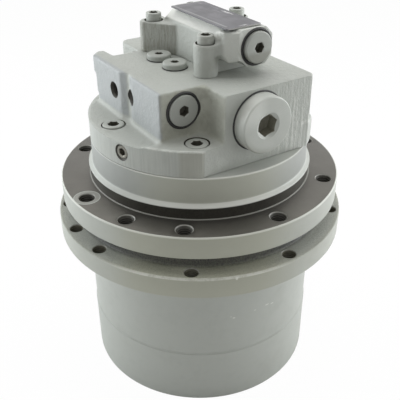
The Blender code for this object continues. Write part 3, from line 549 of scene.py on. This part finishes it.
def turnedFace(name):  # paint with fine rings about the large plugs' axis, paler above with painted light and darker below with painted shade
    paint = enamel(name, grain=0.03, grime=0.1, dark=1.06, rough=0.38)
    x, _, z = paint.axes()
    spotX, spotZ = shape["balanceSpot"]
    radius = paint.distance(x - spotX * mm, z - spotZ * mm)
    paint.height = paint.height + paint.rings(radius, 0.9) * 0.03
    # painted shade on the lower left of the rim and painted light on the upper left
    low = paint.past(z, spotZ, 0.8, -17.2) * paint.past(x, spotX, 12.2, -9.8)
    paint.layer(low * paint.past(radius, 0, 14, 20.5) * 0.55, enamelTones["grime"])
    high = paint.past(z, spotZ, -3.2, 10.8) * paint.past(x, spotX, 2.2, -9.8)
    paint.layer(high * 0.6, enamelTones["pale"])
    return paint.done()


def smallPlug(name):  # plug paint that darkens low on the speed plugs
    paint = enamel(name, grain=0.05, dark=0.86, rough=0.38)
    z = paint.axes()[2]
    paint.layer(paint.zone(z, shape["speedSpot"][1], -11.5, -5, 4) * 0.45, enamelTones["grime"])
    return paint.done()


def plateFinish():
    plate = Paint("plateFinish", IOR=1.5)
    x, y, z = plate.axes()
    scratch = plate.noise(300, 4, 0.7, stretch=(1, 0.1, 1))
    dents = plate.noise(420, 3, 0.7)
    cloudy = plate.between(plate.noise(90, 4), 0.4, 0.7)
    plate.colour = plate.blend(cloudy, tint(84, 83, 87), tint(104, 103, 107))
    plate.metal = 0.35
    plate.shine = scratch * 0.2 + 0.3
    plate.height = scratch * 0.2 + dents * 0.1
    plate.layer(plate.between(scratch, 0.6, 0.72) * 0.6, tint(206, 206, 208))
    strip = plate.zone(x, 0, -4.5, -3, 0.2) * plate.zone(y, 0, -40, 26, 1)
    plate.layer(strip * 0.28, tint(196, 197, 196))
    chips = plate.between(plate.noise(520, 3, 0.7), 0.5, 0.6)
    for placeX, placeY, wide, tall in ((18, -9, 1.0, 8), (8.2, -42.4, 4.5, 0.8), (12, -44.9, 9, 0.4)):
        near = plate.distance((x - placeX * mm) / (wide * mm), (y - placeY * mm) / (tall * mm))
        plate.layer(plate.between(near, 1.15, 0.75) * (chips * 0.7 + 0.25), tint(222, 222, 220), 0.4, 0.0)
    front = plate.past(y, 0, -44.9, -45.3) * plate.past(z, shape["plateTop"], -0.05, -0.15)
    plate.layer(front * 0.9, tint(206, 206, 202), 0.4, 0.0)
    return plate.done(0.4, 0.0003)


def holeFinish(name, dark, light, mouth=0.0):  # threads, dark with painted shade, with a bright edge at the mouth's height in mm
    paint = Paint(name, IOR=1.4)
    sootAndShade = paint.noise(500, 3, 0.6)
    paint.colour = paint.blend(sootAndShade, dark, light)
    paint.shine = sootAndShade * 0.2 + 0.42
    paint.height = sootAndShade * 0.2
    if mouth:
        z = paint.axes()[2]
        # painted light on the thread crests, in lines at the thread pitch
        ridge = paint.rings(mouth * mm - z, shape["threadPitch"])
        paint.layer(paint.between(ridge, 0.2, 0.9) * 0.45, tint(126, 124, 114), 0.4)
        lip = paint.past(z, mouth, -0.7, -0.45) * (sootAndShade * 0.8 + 0.25)
        paint.layer(lip, tint(176, 176, 170), 0.4)
    return paint.done(0.4, 0.0003)


# paint for sockets and bore linings; its darker tones paint shade in them
def socketFinish(name, dark, light):
    paint = Paint(name, IOR=1.4)
    sootAndShade = paint.noise(420, 4, 0.6)
    paint.colour = paint.blend(sootAndShade, dark, light)
    paint.shine = sootAndShade * 0.3 + 0.4
    paint.height = sootAndShade * 0.3
    return paint.done()


def rubberFinish(name):
    paint = Paint(name, IOR=1.5)
    speck = paint.noise(700, 3)
    return paint.feed(Base_Color=paint.blend(speck, (0.006, 0.006, 0.006), (0.02, 0.02, 0.019)),
                      Roughness=speck * 0.2 + 0.45)


drumPaint = drumEnamel()
capPaint = enamel("capEnamel").done()
casePaint = caseEnamel()
coverPaint = coverEnamel()
valvePaint = valveEnamel()
plugPaint = smallPlug("plugEnamel")
boltPaint = enamel("boltEnamel", grain=0.05, grime=0.3).done()
facePaint = turnedFace("plugFaceEnamel")
shaftSteel = plainSteel("groundSteel", tint(196, 197, 199), 0.28, rings=0.8)
gearSteelFinish = plainSteel("gearFinish", tint(120, 120, 124), 0.38)
sealFinish = plainSteel("sealFinish", tint(92, 92, 92), 0.36, rings=0.6)
bronzeFinish = plainSteel("bronzeFinish", tint(176, 142, 84), 0.36, rings=0.9)
# thread linings, dark with painted shade
threadSteel = holeFinish("threadSteel", tint(36, 35, 32), tint(84, 82, 75))
drumThreads = holeFinish("drumThreads", tint(74, 73, 62), tint(130, 128, 112), shape["sprocketFace"])
caseThreads = holeFinish("caseThreads", tint(32, 31, 28), tint(76, 74, 68), shape["frameFace"])
darkSteel = plainSteel("darkSteel", tint(128, 126, 118), 0.4)
platePaint = plateFinish()

# socket and bore linings, dark with painted shade
sootAndShadePaint = socketFinish("socketSoot", tint(54, 53, 47), tint(116, 114, 103))
openSocket = socketFinish("openSocket", tint(112, 111, 100), tint(160, 158, 145))
rubber = rubberFinish("rubber")


# Turned housings

print("turning the drum, its cover and the case")
drum = {
    "profile": [(91.3, 48.5, 0.1), (91.3, 49.3, 0.3), (91, 49.6, 0.3), (91, 121.5, 3), (112.6, 121.5, 1),
                (112.6, 138, 1.1), (97.5, 138, 1.6), (97.5, 146, 0.8), (94, 146), (94, 135.7), (84, 135.7),
                (84, 103.7), (71, 103.7), (71, 92.3), (75, 92.3), (75, 70), (75.6, 70), (75.6, 48.5)],
    "holeCircle": 105,
    "holeAngles": [-165.7 + 40 * index for index in range(9)] + [175.5],
    "flangeThick": 16.5,
    "hole": 4.65,
}
form = lathe(drum["profile"], 180, ring=True)
cutters = []
for angle in drum["holeAngles"]:
    cutter = threadCutter(drum["hole"], drum["flangeThick"] + 1, shape["threadPitch"], 0.4, 0.35)
    cutters.append(shifted(cutter, *polar(drum["holeCircle"], angle, shape["sprocketFace"])))
form = carved(form, cutters, lining=1)
finished(form, "drumShell", "hub", [drumPaint, drumThreads], ["hub_housing"])

cover = {
    "profile": [(0, 0), (91.6, 0, 1.8), (91.6, 48.38, 0.4), (91.3, 48.38), (91.3, 48.46), (75.6, 48.46),
                (75.6, 11.7), (70, 11.7), (70, 9), (0, 9)],
    "boltCircle": 83.5,
    "boltCount": 6,
    "boltSink": 8.8,
    "plugCircle": 45,
    "plugSink": 3.5,
}
form = lathe(cover["profile"], 180)
cutters = []
for index in range(cover["boltCount"]):
    seat = cover["boltSink"]
    sink = lathe([(0, -2), (7.4, -2), (7.4, 0), (6.9, 0.5), (6.9, seat), (4.3, seat), (4.3, 40), (0, 40)], 32)
    cutters.append(shifted(sink, *polar(cover["boltCircle"], 360 / cover["boltCount"] * index)))
for side in (-1, 1):
    seat = cover["plugSink"]
    sink = lathe([(0, -2), (10.2, -2), (10.2, 0), (9.6, 0.5), (9.6, seat), (6.9, seat), (6.9, 12),
                  (0, 12)], 40)
    cutters.append(shifted(sink, 0, side * cover["plugCircle"]))
finished(carved(form, cutters), "endCap", "hub", [capPaint], ["end_cover"])

case = {
    "profile": [(56, 68.5), (56, 77.7), (58, 77.7), (58, 92.3), (65.5, 92.3), (65.5, 98), (68, 98),
                (68, 120.3), (76, 120.3), (76, 134), (82, 138), (82, 151.1), (108, 151.1, 0.8),
                (108, 168, 0.9), (85.8, 168, 0.1), (85.5, 168.3), (85.5, 176.2, 0.2), (86.1, 176.5, 0.25),
                (86.1, 177.3, 0.5), (83, 179.2, 1.2), (83, 198.45, 0.3), (56, 198.45), (56, 176.5),
                (48, 168.5), (48, 88), (16, 88), (16, 68.5)],
    "holeAngles": [-153.3, -128.5, -89.1, -49.1, -9.1, 30.9, 81.5, 131.9],
    "flangeThick": 16.9,
    "hole": 4.9,
    "plainHole": 5.2,
}
form = lathe(case["profile"], 180, ring=True)
deep = case["flangeThick"] + 1
cutters = []
for angle in case["holeAngles"]:
    cutter = threadCutter(case["hole"], deep, shape["threadPitch"], 0.55, 0.9)
    cutters.append(shifted(cutter, *polar(shape["frameCircle"], angle, shape["frameFace"])))
cutter = threadCutter(case["plainHole"], deep, shape["threadPitch"], 0.5, 0.5)
cutters.append(shifted(cutter, *polar(shape["frameCircle"], shape["padAngle"], shape["frameFace"])))
form = carved(form, cutters, lining=1)
finished(form, "caseShell", "case", [casePaint, caseThreads], ["spindle_housing"])


# Rear cover

print("casting the rear cover")
head = {
    "outline": [(-25.5, -72)] + roundArc(43.2, -65, 7, -90, 0, 7)
    + [(50.2, 43), (27, 43), (27, 75), (-19, 75)] + roundArc(-19, 67, 8, 90, 180, 5)
    + [(-27, 43), (-47.4, 43), (-47.6, 49.5), (-60.3, 49.5), (-60.3, 8.5), (-56.4, 1.8), (-58.8, -7),
       (-59.4, -41), (-59.2, -46)] + roundArc(-34.5, -55, 9, 90, 0, 6),
    "ear": [(-47.4, 40), (-47.8, 46.5), (-47.6, 52), (-48.2, 58), (-52.4, 59.5), (-56, 57), (-60.3, 52),
            (-60.3, 40)],
    "pad": roundArc(0, 0, 84, -150, -122, 8) + [(-20, -72.4), (-20, -42), (-54, -42), (-56, -46)],
    "earLow": 239,
    "low": 190,
    "castLow": 194,
    "foot": 198.8,
    "padLow": 205,
    "padTop": 218.3,
    "rimEnd": 218.4,
    "top": 252,
    "clear": 120,  # well outside the casting
    "castRadius": 84.9,
    "back": 75,
    "facet": {"angle": -125.9, "reach": 82.55, "half": 11, "height": 206.3},
    "voxel": 0.95,
    "rounds": 5,
    "softZone": (213, 225, 26),
}
coverScrews = {
    "circle": 70.2,
    "angles": [177.8, 123.6, 56.4, -2.0, -123.6],
    "floor": 207,
    "lifts": [0.3, 0.3, 0.3, 0.3, 1.3],
    "room": 8.8,
}
balanceX, balanceZ = shape["balanceSpot"]
pocketX, pocketZ = shape["pocketSpot"]
gauges = {"spots": [(-23.3, 16.9), (-23.3, -5.7)], "top": 252.2}
plugBores = {  # bore, its foot, the room round the plug, seat and mouth in mm, and the steps round
    "balance": (17, -19, 20.4, -0.8, 3, 72),
    "pocket": (9, -24, 12.5, -0.8, 6, 64),
    "gauge": (5.2, 234, 9.2, gauges["top"] - 0.5, 256, 48),
    "speed": (9.3, -11, 12.7, -0.8, 3, 64),
}
ports = {  # radius, depth, pitch, ridge and mouth of each thread in mm
    "side": {"thread": (4.9, 16, 1.4, 0.6, 0.6),
             "sites": [((-1, 0, 0), (-60.3, 18.3, 235.5)), (polar(1, 163.5), (-57.9, -3.2, 235.9))]},
    "main": {"thread": (8.7, 18, 1.8, 0.7, 0.8),
             "sites": [((1, 0, 0), (50.2, y, 230)) for y in (-28, 28)]},
    "rim": {"thread": (5.0, 12, 1.4, 0.5, 0.6),
            "sites": [(polar(1, angle), polar(shape["caseRadius"], angle, 208.7))
                      for angle in (-161.8, -204.5)]},
}
rough = [barrel(head["castRadius"], head["castLow"], shape["rimTop"], 120),
         prism(head["outline"], head["low"], head["top"]), prism(head["ear"], head["earLow"], head["top"]),
         prism(head["pad"], head["padLow"], head["padTop"])]
form = cast(rough, head["voxel"], head["rounds"], [head["softZone"]])
clear, foot, rimEnd = head["clear"], head["foot"], head["rimEnd"]
envelope = lathe([(0, foot), (shape["caseRadius"], foot, 0.3), (shape["caseRadius"], rimEnd), (clear, rimEnd),
                  (clear, 260), (0, 260)], 180)
envelope = carved(envelope, [block(25, -90, 60, -50, foot, 225)], "UNION")
form = carved(form, [envelope], "INTERSECT")
cutters = [block(-clear, -140, clear, shape["headFront"] + 0.04, 190, 270),
           block(-clear, head["back"] - 0.04, clear, 140, 190, 270)]
form = carved(form, cutters)
facet = head["facet"]
beyond = block(-facet["half"], -12, facet["half"], 12, 0, 20)
spot = polar(facet["reach"], facet["angle"], facet["height"])
form = carved(form, [placed(beyond, polar(1, facet["angle"]), spot)])
sinks = []
for angle in coverScrews["angles"]:
    sink = stepped(5.3, 190, coverScrews["room"], coverScrews["floor"], 232, 48)
    sinks.append(shifted(sink, *polar(coverScrews["circle"], angle)))
form = carved(form, sinks, lining=2)
bores = []
for way, wall in ((-1, shape["headFront"]), (1, head["back"])):
    bores.append(placed(stepped(*plugBores["balance"]), (0, way, 0), (balanceX, wall, balanceZ)))
bores.append(placed(stepped(*plugBores["pocket"]), (0, -1, 0), (pocketX, shape["pocketWall"], pocketZ)))
for x, y in gauges["spots"]:
    bores.append(shifted(stepped(*plugBores["gauge"]), x, y))
form = carved(form, bores, lining=2)
threads = []
for port in ports.values():
    for way, place in port["sites"]:
        threads.append(placed(threadCutter(*port["thread"]), way, place))
form = carved(form, threads, lining=1)
finished(form, "coverCasting", "case", [coverPaint, threadSteel, sootAndShadePaint], ["rear_cover"],
         sharp=38, weighted=True)


# Valve block

print("casting the valve block")
valve = {
    "ridge": [(-8, 250), (32, 250), (32, 276.2), (24, 284.2), (1, 284.2), (-8, 276.2)],
    "front": -31.7,
    "back": 34,
    "snoutFront": -49.5,
    "proud": 1.8,  # the snout is cast longer and cut back flat
    "half": 12.8,
    "corner": 5.6,
    "cheek": [(2.1, -51.3, 264.8), (12, -51.3, 264.8), (2.1, -51.3, 282.4), (12, -51.3, 283.4),
              (-4.6, -45.2, 262.0), (-7.6, -42.4, 267.4), (-7.6, -42.4, 282.6), (-7.6, -37, 267.4),
              (-7.6, -38, 282.6), (-4.6, -28, 262.0), (12, -28, 262.0), (12, -28, 283.6), (-4, -28, 280)],
    "web": [(-14, -38.6, 266.6), (-14, -38.6, 273.2), (-6, -42, 266.6), (-6, -42, 276.5),
            (-14, -28, 266.6), (-14, -28, 273.2), (-6, -28, 266.6), (-6, -28, 276.5)],
    "boss": [(-25, 38), (-8.5, 16), (-4, 14), (-4, 46), (-21, 46), (-25, 42)],
    "bossRadii": [0, 8.3, 8.5],
    "bossLifts": [0, -0.4, 1.6],
    "bolts": [(-15, 38), (-13.8, -30.7), (39, 8)],
    "seat": 272,
    "room": 7.1,
    "castLow": 249,
    "low": 252.3,
    "voxel": 0.8,
    "rounds": 4,
}
upright = Matrix.Rotation(quarter, 4, "X")
ridge = prism(valve["ridge"], -valve["back"], -valve["front"])
speedX, speedZ = shape["speedSpot"]
half, corner = valve["half"], valve["corner"]
left, right, low, high = speedX - half, speedX + half, speedZ - half, speedZ + half
snout = prism([(left + corner, low), (right - corner, low), (right, low + corner), (right, high - corner),
               (right - corner, high), (left, high), (left, low + corner)],
              -valve["front"] - 6, -valve["snoutFront"] + valve["proud"])
ridge.transform(upright)
snout.transform(upright)
rough = [ridge, snout, prism(valve["boss"], valve["castLow"], shape["bossTop"]), hull(valve["cheek"]),
         hull(valve["web"])]
for (x, y), radius, lift in list(zip(valve["bolts"], valve["bossRadii"], valve["bossLifts"]))[1:]:
    rough.append(shifted(barrel(radius, valve["castLow"], shape["bossTop"] + lift), x, y))
form = cast(rough, valve["voxel"], valve["rounds"])
form = carved(form, [block(-80, valve["snoutFront"], 80, 80, valve["low"], 300)], "INTERSECT")
cutters = []
for (x, y), lift in zip(valve["bolts"], valve["bossLifts"]):
    seat, top, room = valve["seat"] + lift, shape["bossTop"] + lift + 0.3, valve["room"]
    sink = lathe([(0, 245), (4.4, 245), (4.4, seat), (room, seat), (room, top), (room - 1, top + 0.6),
                  (room - 1, 292), (0, 292)], 48)
    cutters.append(shifted(sink, x, y))
for way, wall in ((-1, valve["snoutFront"]), (1, valve["back"])):
    cutters.append(placed(stepped(*plugBores["speed"]), (0, way, 0), (speedX, wall, speedZ)))
form = carved(form, cutters, lining=2)
finished(form, "valveCasting", "case", [valvePaint, threadSteel, sootAndShadePaint], ["valve_block"],
         sharp=38, weighted=True)


# Plugs and screws

print("turning the plugs and screws")


def socketed(form, top, across, depth, mouth=0.4, turn=0.0):  # a hexagon socket in a top face
    wide, low = across / 2, top - depth
    hexagon = hexPrism(across, low, top + 1)
    hexagon.transform(Matrix.Rotation(math.radians(turn), 4, "Z"))
    drill, flare = wide * 0.92, wide * 1.16 + mouth
    foot = lathe([(0, low - wide * 0.45), (drill, low + 0.05), (drill, low + 1), (0, low + 1)], 24)
    entry = lathe([(0, top - mouth), (wide, top - mouth), (flare, top + 0.2), (0, top + 0.2)], 48)
    form = carved(form, [hexagon], lining=1)
    form = carved(form, [foot], lining=1)
    return carved(form, [entry])


def capPlug(spec):  # stands on z = 0 with its thread below
    cap, high, edge = spec["radius"], spec["high"], spec["edge"]
    thread, low = spec["thread"], -spec["length"]
    form = lathe([(0, low), (thread, low), (thread, 0), (cap, 0, 0.3), (cap, high - edge, edge * 0.45),
                  (cap - edge, high, edge * 0.4), (0, high)], 72)
    return socketed(form, high, spec["across"], spec["socket"], spec.get("mouth", 0.4), spec.get("turn", 0))


def capScrew(spec):
    shank, radius, high = spec["shank"], spec["radius"], spec["high"]
    form = lathe([(0, -spec["length"]), (shank, -spec["length"]), (shank, 0), (radius, 0, 0.3),
                  (radius, high, spec["edge"]), (0, high)], 56)
    return socketed(form, high, spec["across"], spec["socket"], 0.3)


def rubberRing(radius, thick):
    form = bmesh.new()
    bmesh.ops.create_circle(form, cap_ends=False, segments=14, radius=thick * mm)
    form.transform(Matrix.Translation((radius * mm, 0, 0)) @ Matrix.Rotation(quarter, 4, "X"))
    bmesh.ops.spin(form, geom=form.verts[:] + form.edges[:], cent=(0, 0, 0), axis=(0, 0, 1), angle=math.tau,
                   steps=96, use_merge=True, use_duplicate=False)
    bmesh.ops.recalc_face_normals(form, faces=form.faces)
    return form


plugs = {
    "balance": dict(radius=19.9, high=11.3, across=14, socket=9, edge=0.8, thread=16.7, length=16, mouth=1.5,
                    turn=-13, ring=(20.3, 0.8, 0.2), paints=[facePaint, openSocket], sites={
                        "balance_plug_front": ((0, -1, 0), (balanceX, shape["headFront"] + 0.5, balanceZ)),
                        "balance_plug_back": ((0, 1, 0), (balanceX, head["back"] - 0.5, balanceZ))}),
    "pocket": dict(radius=10.9, high=2.1, across=6.8, socket=5, edge=0.6, thread=8.7, length=14,
                   ring=(12.0, 1.0, 0.5), paints=[plugPaint, sootAndShadePaint], sites={
                       "side_plug": ((0, -1, 0), (pocketX, shape["pocketWall"] + 0.5, pocketZ))}),
    "speed": dict(radius=10.8, high=3.9, across=6.7, socket=5, edge=0.6, thread=9, length=9, turn=30,
                  ring=(11.9, 1.0, 0.3), paints=[plugPaint, sootAndShadePaint], sites={
                      "speed_plug_front": ((0, -1, 0), (speedX, valve["snoutFront"] + 0.5, speedZ)),
                      "speed_plug_back": ((0, 1, 0), (speedX, valve["back"] - 0.5, speedZ))}),
    "gauge": dict(radius=8.75, high=4.1, across=5.3, socket=4, edge=0.8, thread=4.9, length=10,
                  ring=(8.5, 0.45, 0.1), paints=[plugPaint, sootAndShadePaint], sites={
                      f"gauge_plug_{index + 1}": ((0, 0, 1), (*spot, gauges["top"]))
                      for index, spot in enumerate(gauges["spots"])}),
}
for spec in plugs.values():
    model = capPlug(spec)
    radius, thick, lift = spec["ring"]
    for name, (way, place) in spec["sites"].items():
        label = "".join(word.capitalize() for word in name.split("_"))
        finished(placed(model.copy(), way, place), "turned" + label, "case",
                 spec["paints"], [name])
        seal = placed(shifted(rubberRing(radius, thick), 0, 0, lift), way, place)
        finished(seal, "seal" + label, "case", [rubber])
    model.free()

setScrew = {"depth": 4.8, "high": 4.2}
way, mouth = ports["rim"]["sites"][0]
form = lathe([(0, -6), (3.8, -6), (3.8, 0), (5.1, 0.4), (5.1, 3.6), (4.5, 4.2), (0, 4.2)], 40)
form = socketed(form, setScrew["high"], 5, 3)
form = placed(form, way, Vector(mouth) - setScrew["depth"] * Vector(way))
finished(form, "rimSetScrew", "case", [darkSteel, sootAndShadePaint], ["rim_plug"])

coverSpots = [polar(coverScrews["circle"], angle, coverScrews["floor"] + lift)
              for angle, lift in zip(coverScrews["angles"], coverScrews["lifts"])]
valveSpots = [(x, y, valve["seat"] + lift + 0.2)
              for (x, y), lift in zip(valve["bolts"], valve["bossLifts"])]
screws = {
    "coverScrew": dict(shank=5, radius=7.8, high=10, across=7.5, socket=5, length=28, edge=0.7,
                       node="cover_screw_", spots=coverSpots),
    "valveScrew": dict(shank=4, radius=5.7, high=8, across=6, socket=4, length=30, edge=0.8,
                       node="valve_bolt_", spots=valveSpots),
}
for label, spec in screws.items():
    model = capScrew(spec)
    for index, place in enumerate(spec["spots"]):
        finished(shifted(model.copy(), *place), f"{label}{index + 1}", "case",
                 [boltPaint, sootAndShadePaint], [f"{spec['node']}{index + 1}"])
    model.free()

under = {
    "screw": dict(shank=4, radius=6.5, high=8, across=6, socket=4, length=52, edge=0.8),
    "plug": dict(radius=9.3, high=2.8, across=8, socket=4.5, edge=0.6, thread=6.6, length=5),
}
turnedOver = Matrix.Rotation(math.pi, 4, "X")
model = capScrew(under["screw"])
model.transform(turnedOver)
for index in range(cover["boltCount"]):
    place = polar(cover["boltCircle"], 360 / cover["boltCount"] * index, cover["boltSink"] - 0.3)
    finished(shifted(model.copy(), *place), f"endCapScrew{index + 1}", "hub",
             [shaftSteel, sootAndShadePaint], [f"cover_bolt_{index + 1}"])
model.free()
model = capPlug(under["plug"])
model.transform(turnedOver)
for name, label, side in (("fill_plug", "oilPlugFill", 1), ("drain_plug", "oilPlugDrain", -1)):
    place = (0, side * cover["plugCircle"], cover["plugSink"] - 0.3)
    finished(shifted(model.copy(), *place), label, "hub", [shaftSteel, sootAndShadePaint], [name])
model.free()


# Name plate

print("cutting the name plate")
plate = {"wide": 28.1, "long": 73.4, "thick": 0.7, "corner": 1.4, "centre": (7.5, -8.7), "turn": -0.9}
x, y = plate["wide"] / 2, plate["long"] / 2
form = block(-x, -y, x, y, 0, plate["thick"])
corners = [edge for edge in form.edges if abs(edge.verts[0].co.z - edge.verts[1].co.z) > 0.1 * mm]
bmesh.ops.bevel(form, geom=corners, offset=plate["corner"] * mm, offset_type="OFFSET", segments=4,
                profile=0.5, affect="EDGES", material=-1)
form.transform(Matrix.Rotation(math.radians(plate["turn"]), 4, "Z"))
form = shifted(form, *plate["centre"], shape["plateTop"] - plate["thick"])
finished(form, "namePlate", "case", [platePaint], ["name_plate"])


# Inner works, hidden inside the housings

print("finishing the inner works")
innerFinishes = {  # by the first word of a node's name
    "bearing": shaftSteel, "seal": sealFinish, "drive": shaftSteel, "sun": gearSteelFinish,
    "planet": gearSteelFinish, "carrier": gearSteelFinish, "ring": gearSteelFinish, "swash": gearSteelFinish,
    "cylinder": bronzeFinish, "valve": bronzeFinish, "piston": shaftSteel, "balance": shaftSteel,
    "speed": shaftSteel,
}
for name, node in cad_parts.items():
    paint = innerFinishes.get(name.split("_")[0])
    if paint:
        node.data.materials.clear()
        node.data.materials.append(paint)


# Camera and light

print("placing the camera and the lights")
view = {
    "spot": (0.000374, -0.44402, 0.39793),
    "turn": -32.5,
    "down": 30.862,
    "roll": -0.393,
    "lens": 56.375,
    "sensor": 36.0,
}
tilt = math.radians(view["down"])
roll = math.radians(view["roll"])
ahead = Vector((0, math.cos(tilt), -math.sin(tilt)))
level = Vector((1, 0, 0))
rise = Vector((0, math.sin(tilt), math.cos(tilt)))
side = math.cos(roll) * level + math.sin(roll) * rise
upward = math.cos(roll) * rise - math.sin(roll) * level
axes = Matrix((side, upward, -ahead)).transposed().to_4x4()
swing = Matrix.Rotation(math.radians(view["turn"]), 4, "Z")
cameraData = bpy.data.cameras.new("photoCamera")
cameraData.sensor_fit = "HORIZONTAL"
cameraData.sensor_width = view["sensor"]
cameraData.lens = view["lens"]
cameraData.clip_start = 0.01
camera = bpy.data.objects.new("photoCamera", cameraData)
camera.matrix_world = swing @ Matrix.Translation(view["spot"]) @ axes
bpy.context.scene.collection.objects.link(camera)
bpy.context.scene.camera = camera

towardsCamera = view["turn"] - 90
lamps = {  # degrees round from the camera, distance, height, width, tall, watts, colour
    "leftBox": (-104, 0.95, 0.38, 0.9, 0.9, 9.0, (0.93, 0.975, 1.0)),
    "rightBox": (103, 0.95, 0.32, 0.9, 0.9, 9.8, (0.96, 0.985, 1.0)),
    "topBox": (180, 0.25, 1.15, 1.0, 1.0, 5.8, (1.0, 1.0, 1.0)),
}
for name, (turn, reach, height, wide, tall, watts, hue) in lamps.items():
    lampData = bpy.data.lights.new(name, "AREA")
    lampData.shape = "RECTANGLE"
    lampData.size = wide
    lampData.size_y = tall
    lampData.energy = watts
    lampData.color = hue
    lamp = bpy.data.objects.new(name, lampData)
    x, y, _ = polar(reach, towardsCamera + turn)
    spot = Vector((x, y, height))
    aim = (Vector((0, 0, 0.16)) - spot).to_track_quat("-Z", "Y")
    lamp.matrix_world = Matrix.Translation(spot) @ aim.to_matrix().to_4x4()
    bpy.context.scene.collection.objects.link(lamp)

studio = {
    "airColour": (1.0, 0.99, 0.96),
    "airStrength": 0.352,
    "floorTone": 0.86,
    "floorRough": 0.9,
    "floorGlow": 0.97,
    "floorSize": 6,
}
world = bpy.data.worlds.new("studio")
world.use_nodes = True
bpy.context.scene.world = world
air = world.node_tree
softAir = air.nodes["Background"]
softAir.inputs["Color"].default_value = (*studio["airColour"], 1)
softAir.inputs["Strength"].default_value = studio["airStrength"]
whiteAir = air.nodes.new("ShaderNodeBackground")
whiteAir.inputs["Color"].default_value = (1, 1, 1, 1)
rays = air.nodes.new("ShaderNodeLightPath")
seen = rays.outputs["Is Camera Ray"]
for kind in ("Is Glossy Ray", "Is Transmission Ray"):
    either = air.nodes.new("ShaderNodeMath")
    either.operation = "MAXIMUM"
    air.links.new(seen, either.inputs[0])
    air.links.new(rays.outputs[kind], either.inputs[1])
    seen = either.outputs[0]
shown = air.nodes.new("ShaderNodeMixShader")
air.links.new(seen, shown.inputs[0])
air.links.new(softAir.outputs[0], shown.inputs[1])
air.links.new(whiteAir.outputs[0], shown.inputs[2])
air.links.new(shown.outputs[0], air.nodes["World Output"].inputs["Surface"])

floorForm = bmesh.new()
bmesh.ops.create_grid(floorForm, x_segments=1, y_segments=1, size=studio["floorSize"])
floorData = bpy.data.meshes.new("floor")
floorForm.to_mesh(floorData)
floorForm.free()
floor = bpy.data.objects.new("floor", floorData)
bpy.context.scene.collection.objects.link(floor)
floorPaint = bpy.data.materials.new("paleFloor")
floorPaint.use_nodes = True
floorTree = floorPaint.node_tree
floorShader = floorTree.nodes["Principled BSDF"]
floorShader.inputs["Base Color"].default_value = (studio["floorTone"],) * 3 + (1,)
floorShader.inputs["Roughness"].default_value = studio["floorRough"]
glow = floorTree.nodes.new("ShaderNodeEmission")
glow.inputs["Strength"].default_value = 1.0
path = floorTree.nodes.new("ShaderNodeLightPath")
share = floorTree.nodes.new("ShaderNodeMath")
share.operation = "MULTIPLY"
share.inputs[1].default_value = studio["floorGlow"]
floorTree.links.new(path.outputs["Is Camera Ray"], share.inputs[0])
both = floorTree.nodes.new("ShaderNodeMixShader")
floorTree.links.new(share.outputs[0], both.inputs[0])
floorTree.links.new(floorShader.outputs[0], both.inputs[1])
floorTree.links.new(glow.outputs[0], both.inputs[2])
floorTree.links.new(both.outputs[0], floorTree.nodes["Material Output"].inputs["Surface"])
floorData.materials.append(floorPaint)

bpy.context.scene.view_settings.view_transform = "Standard"
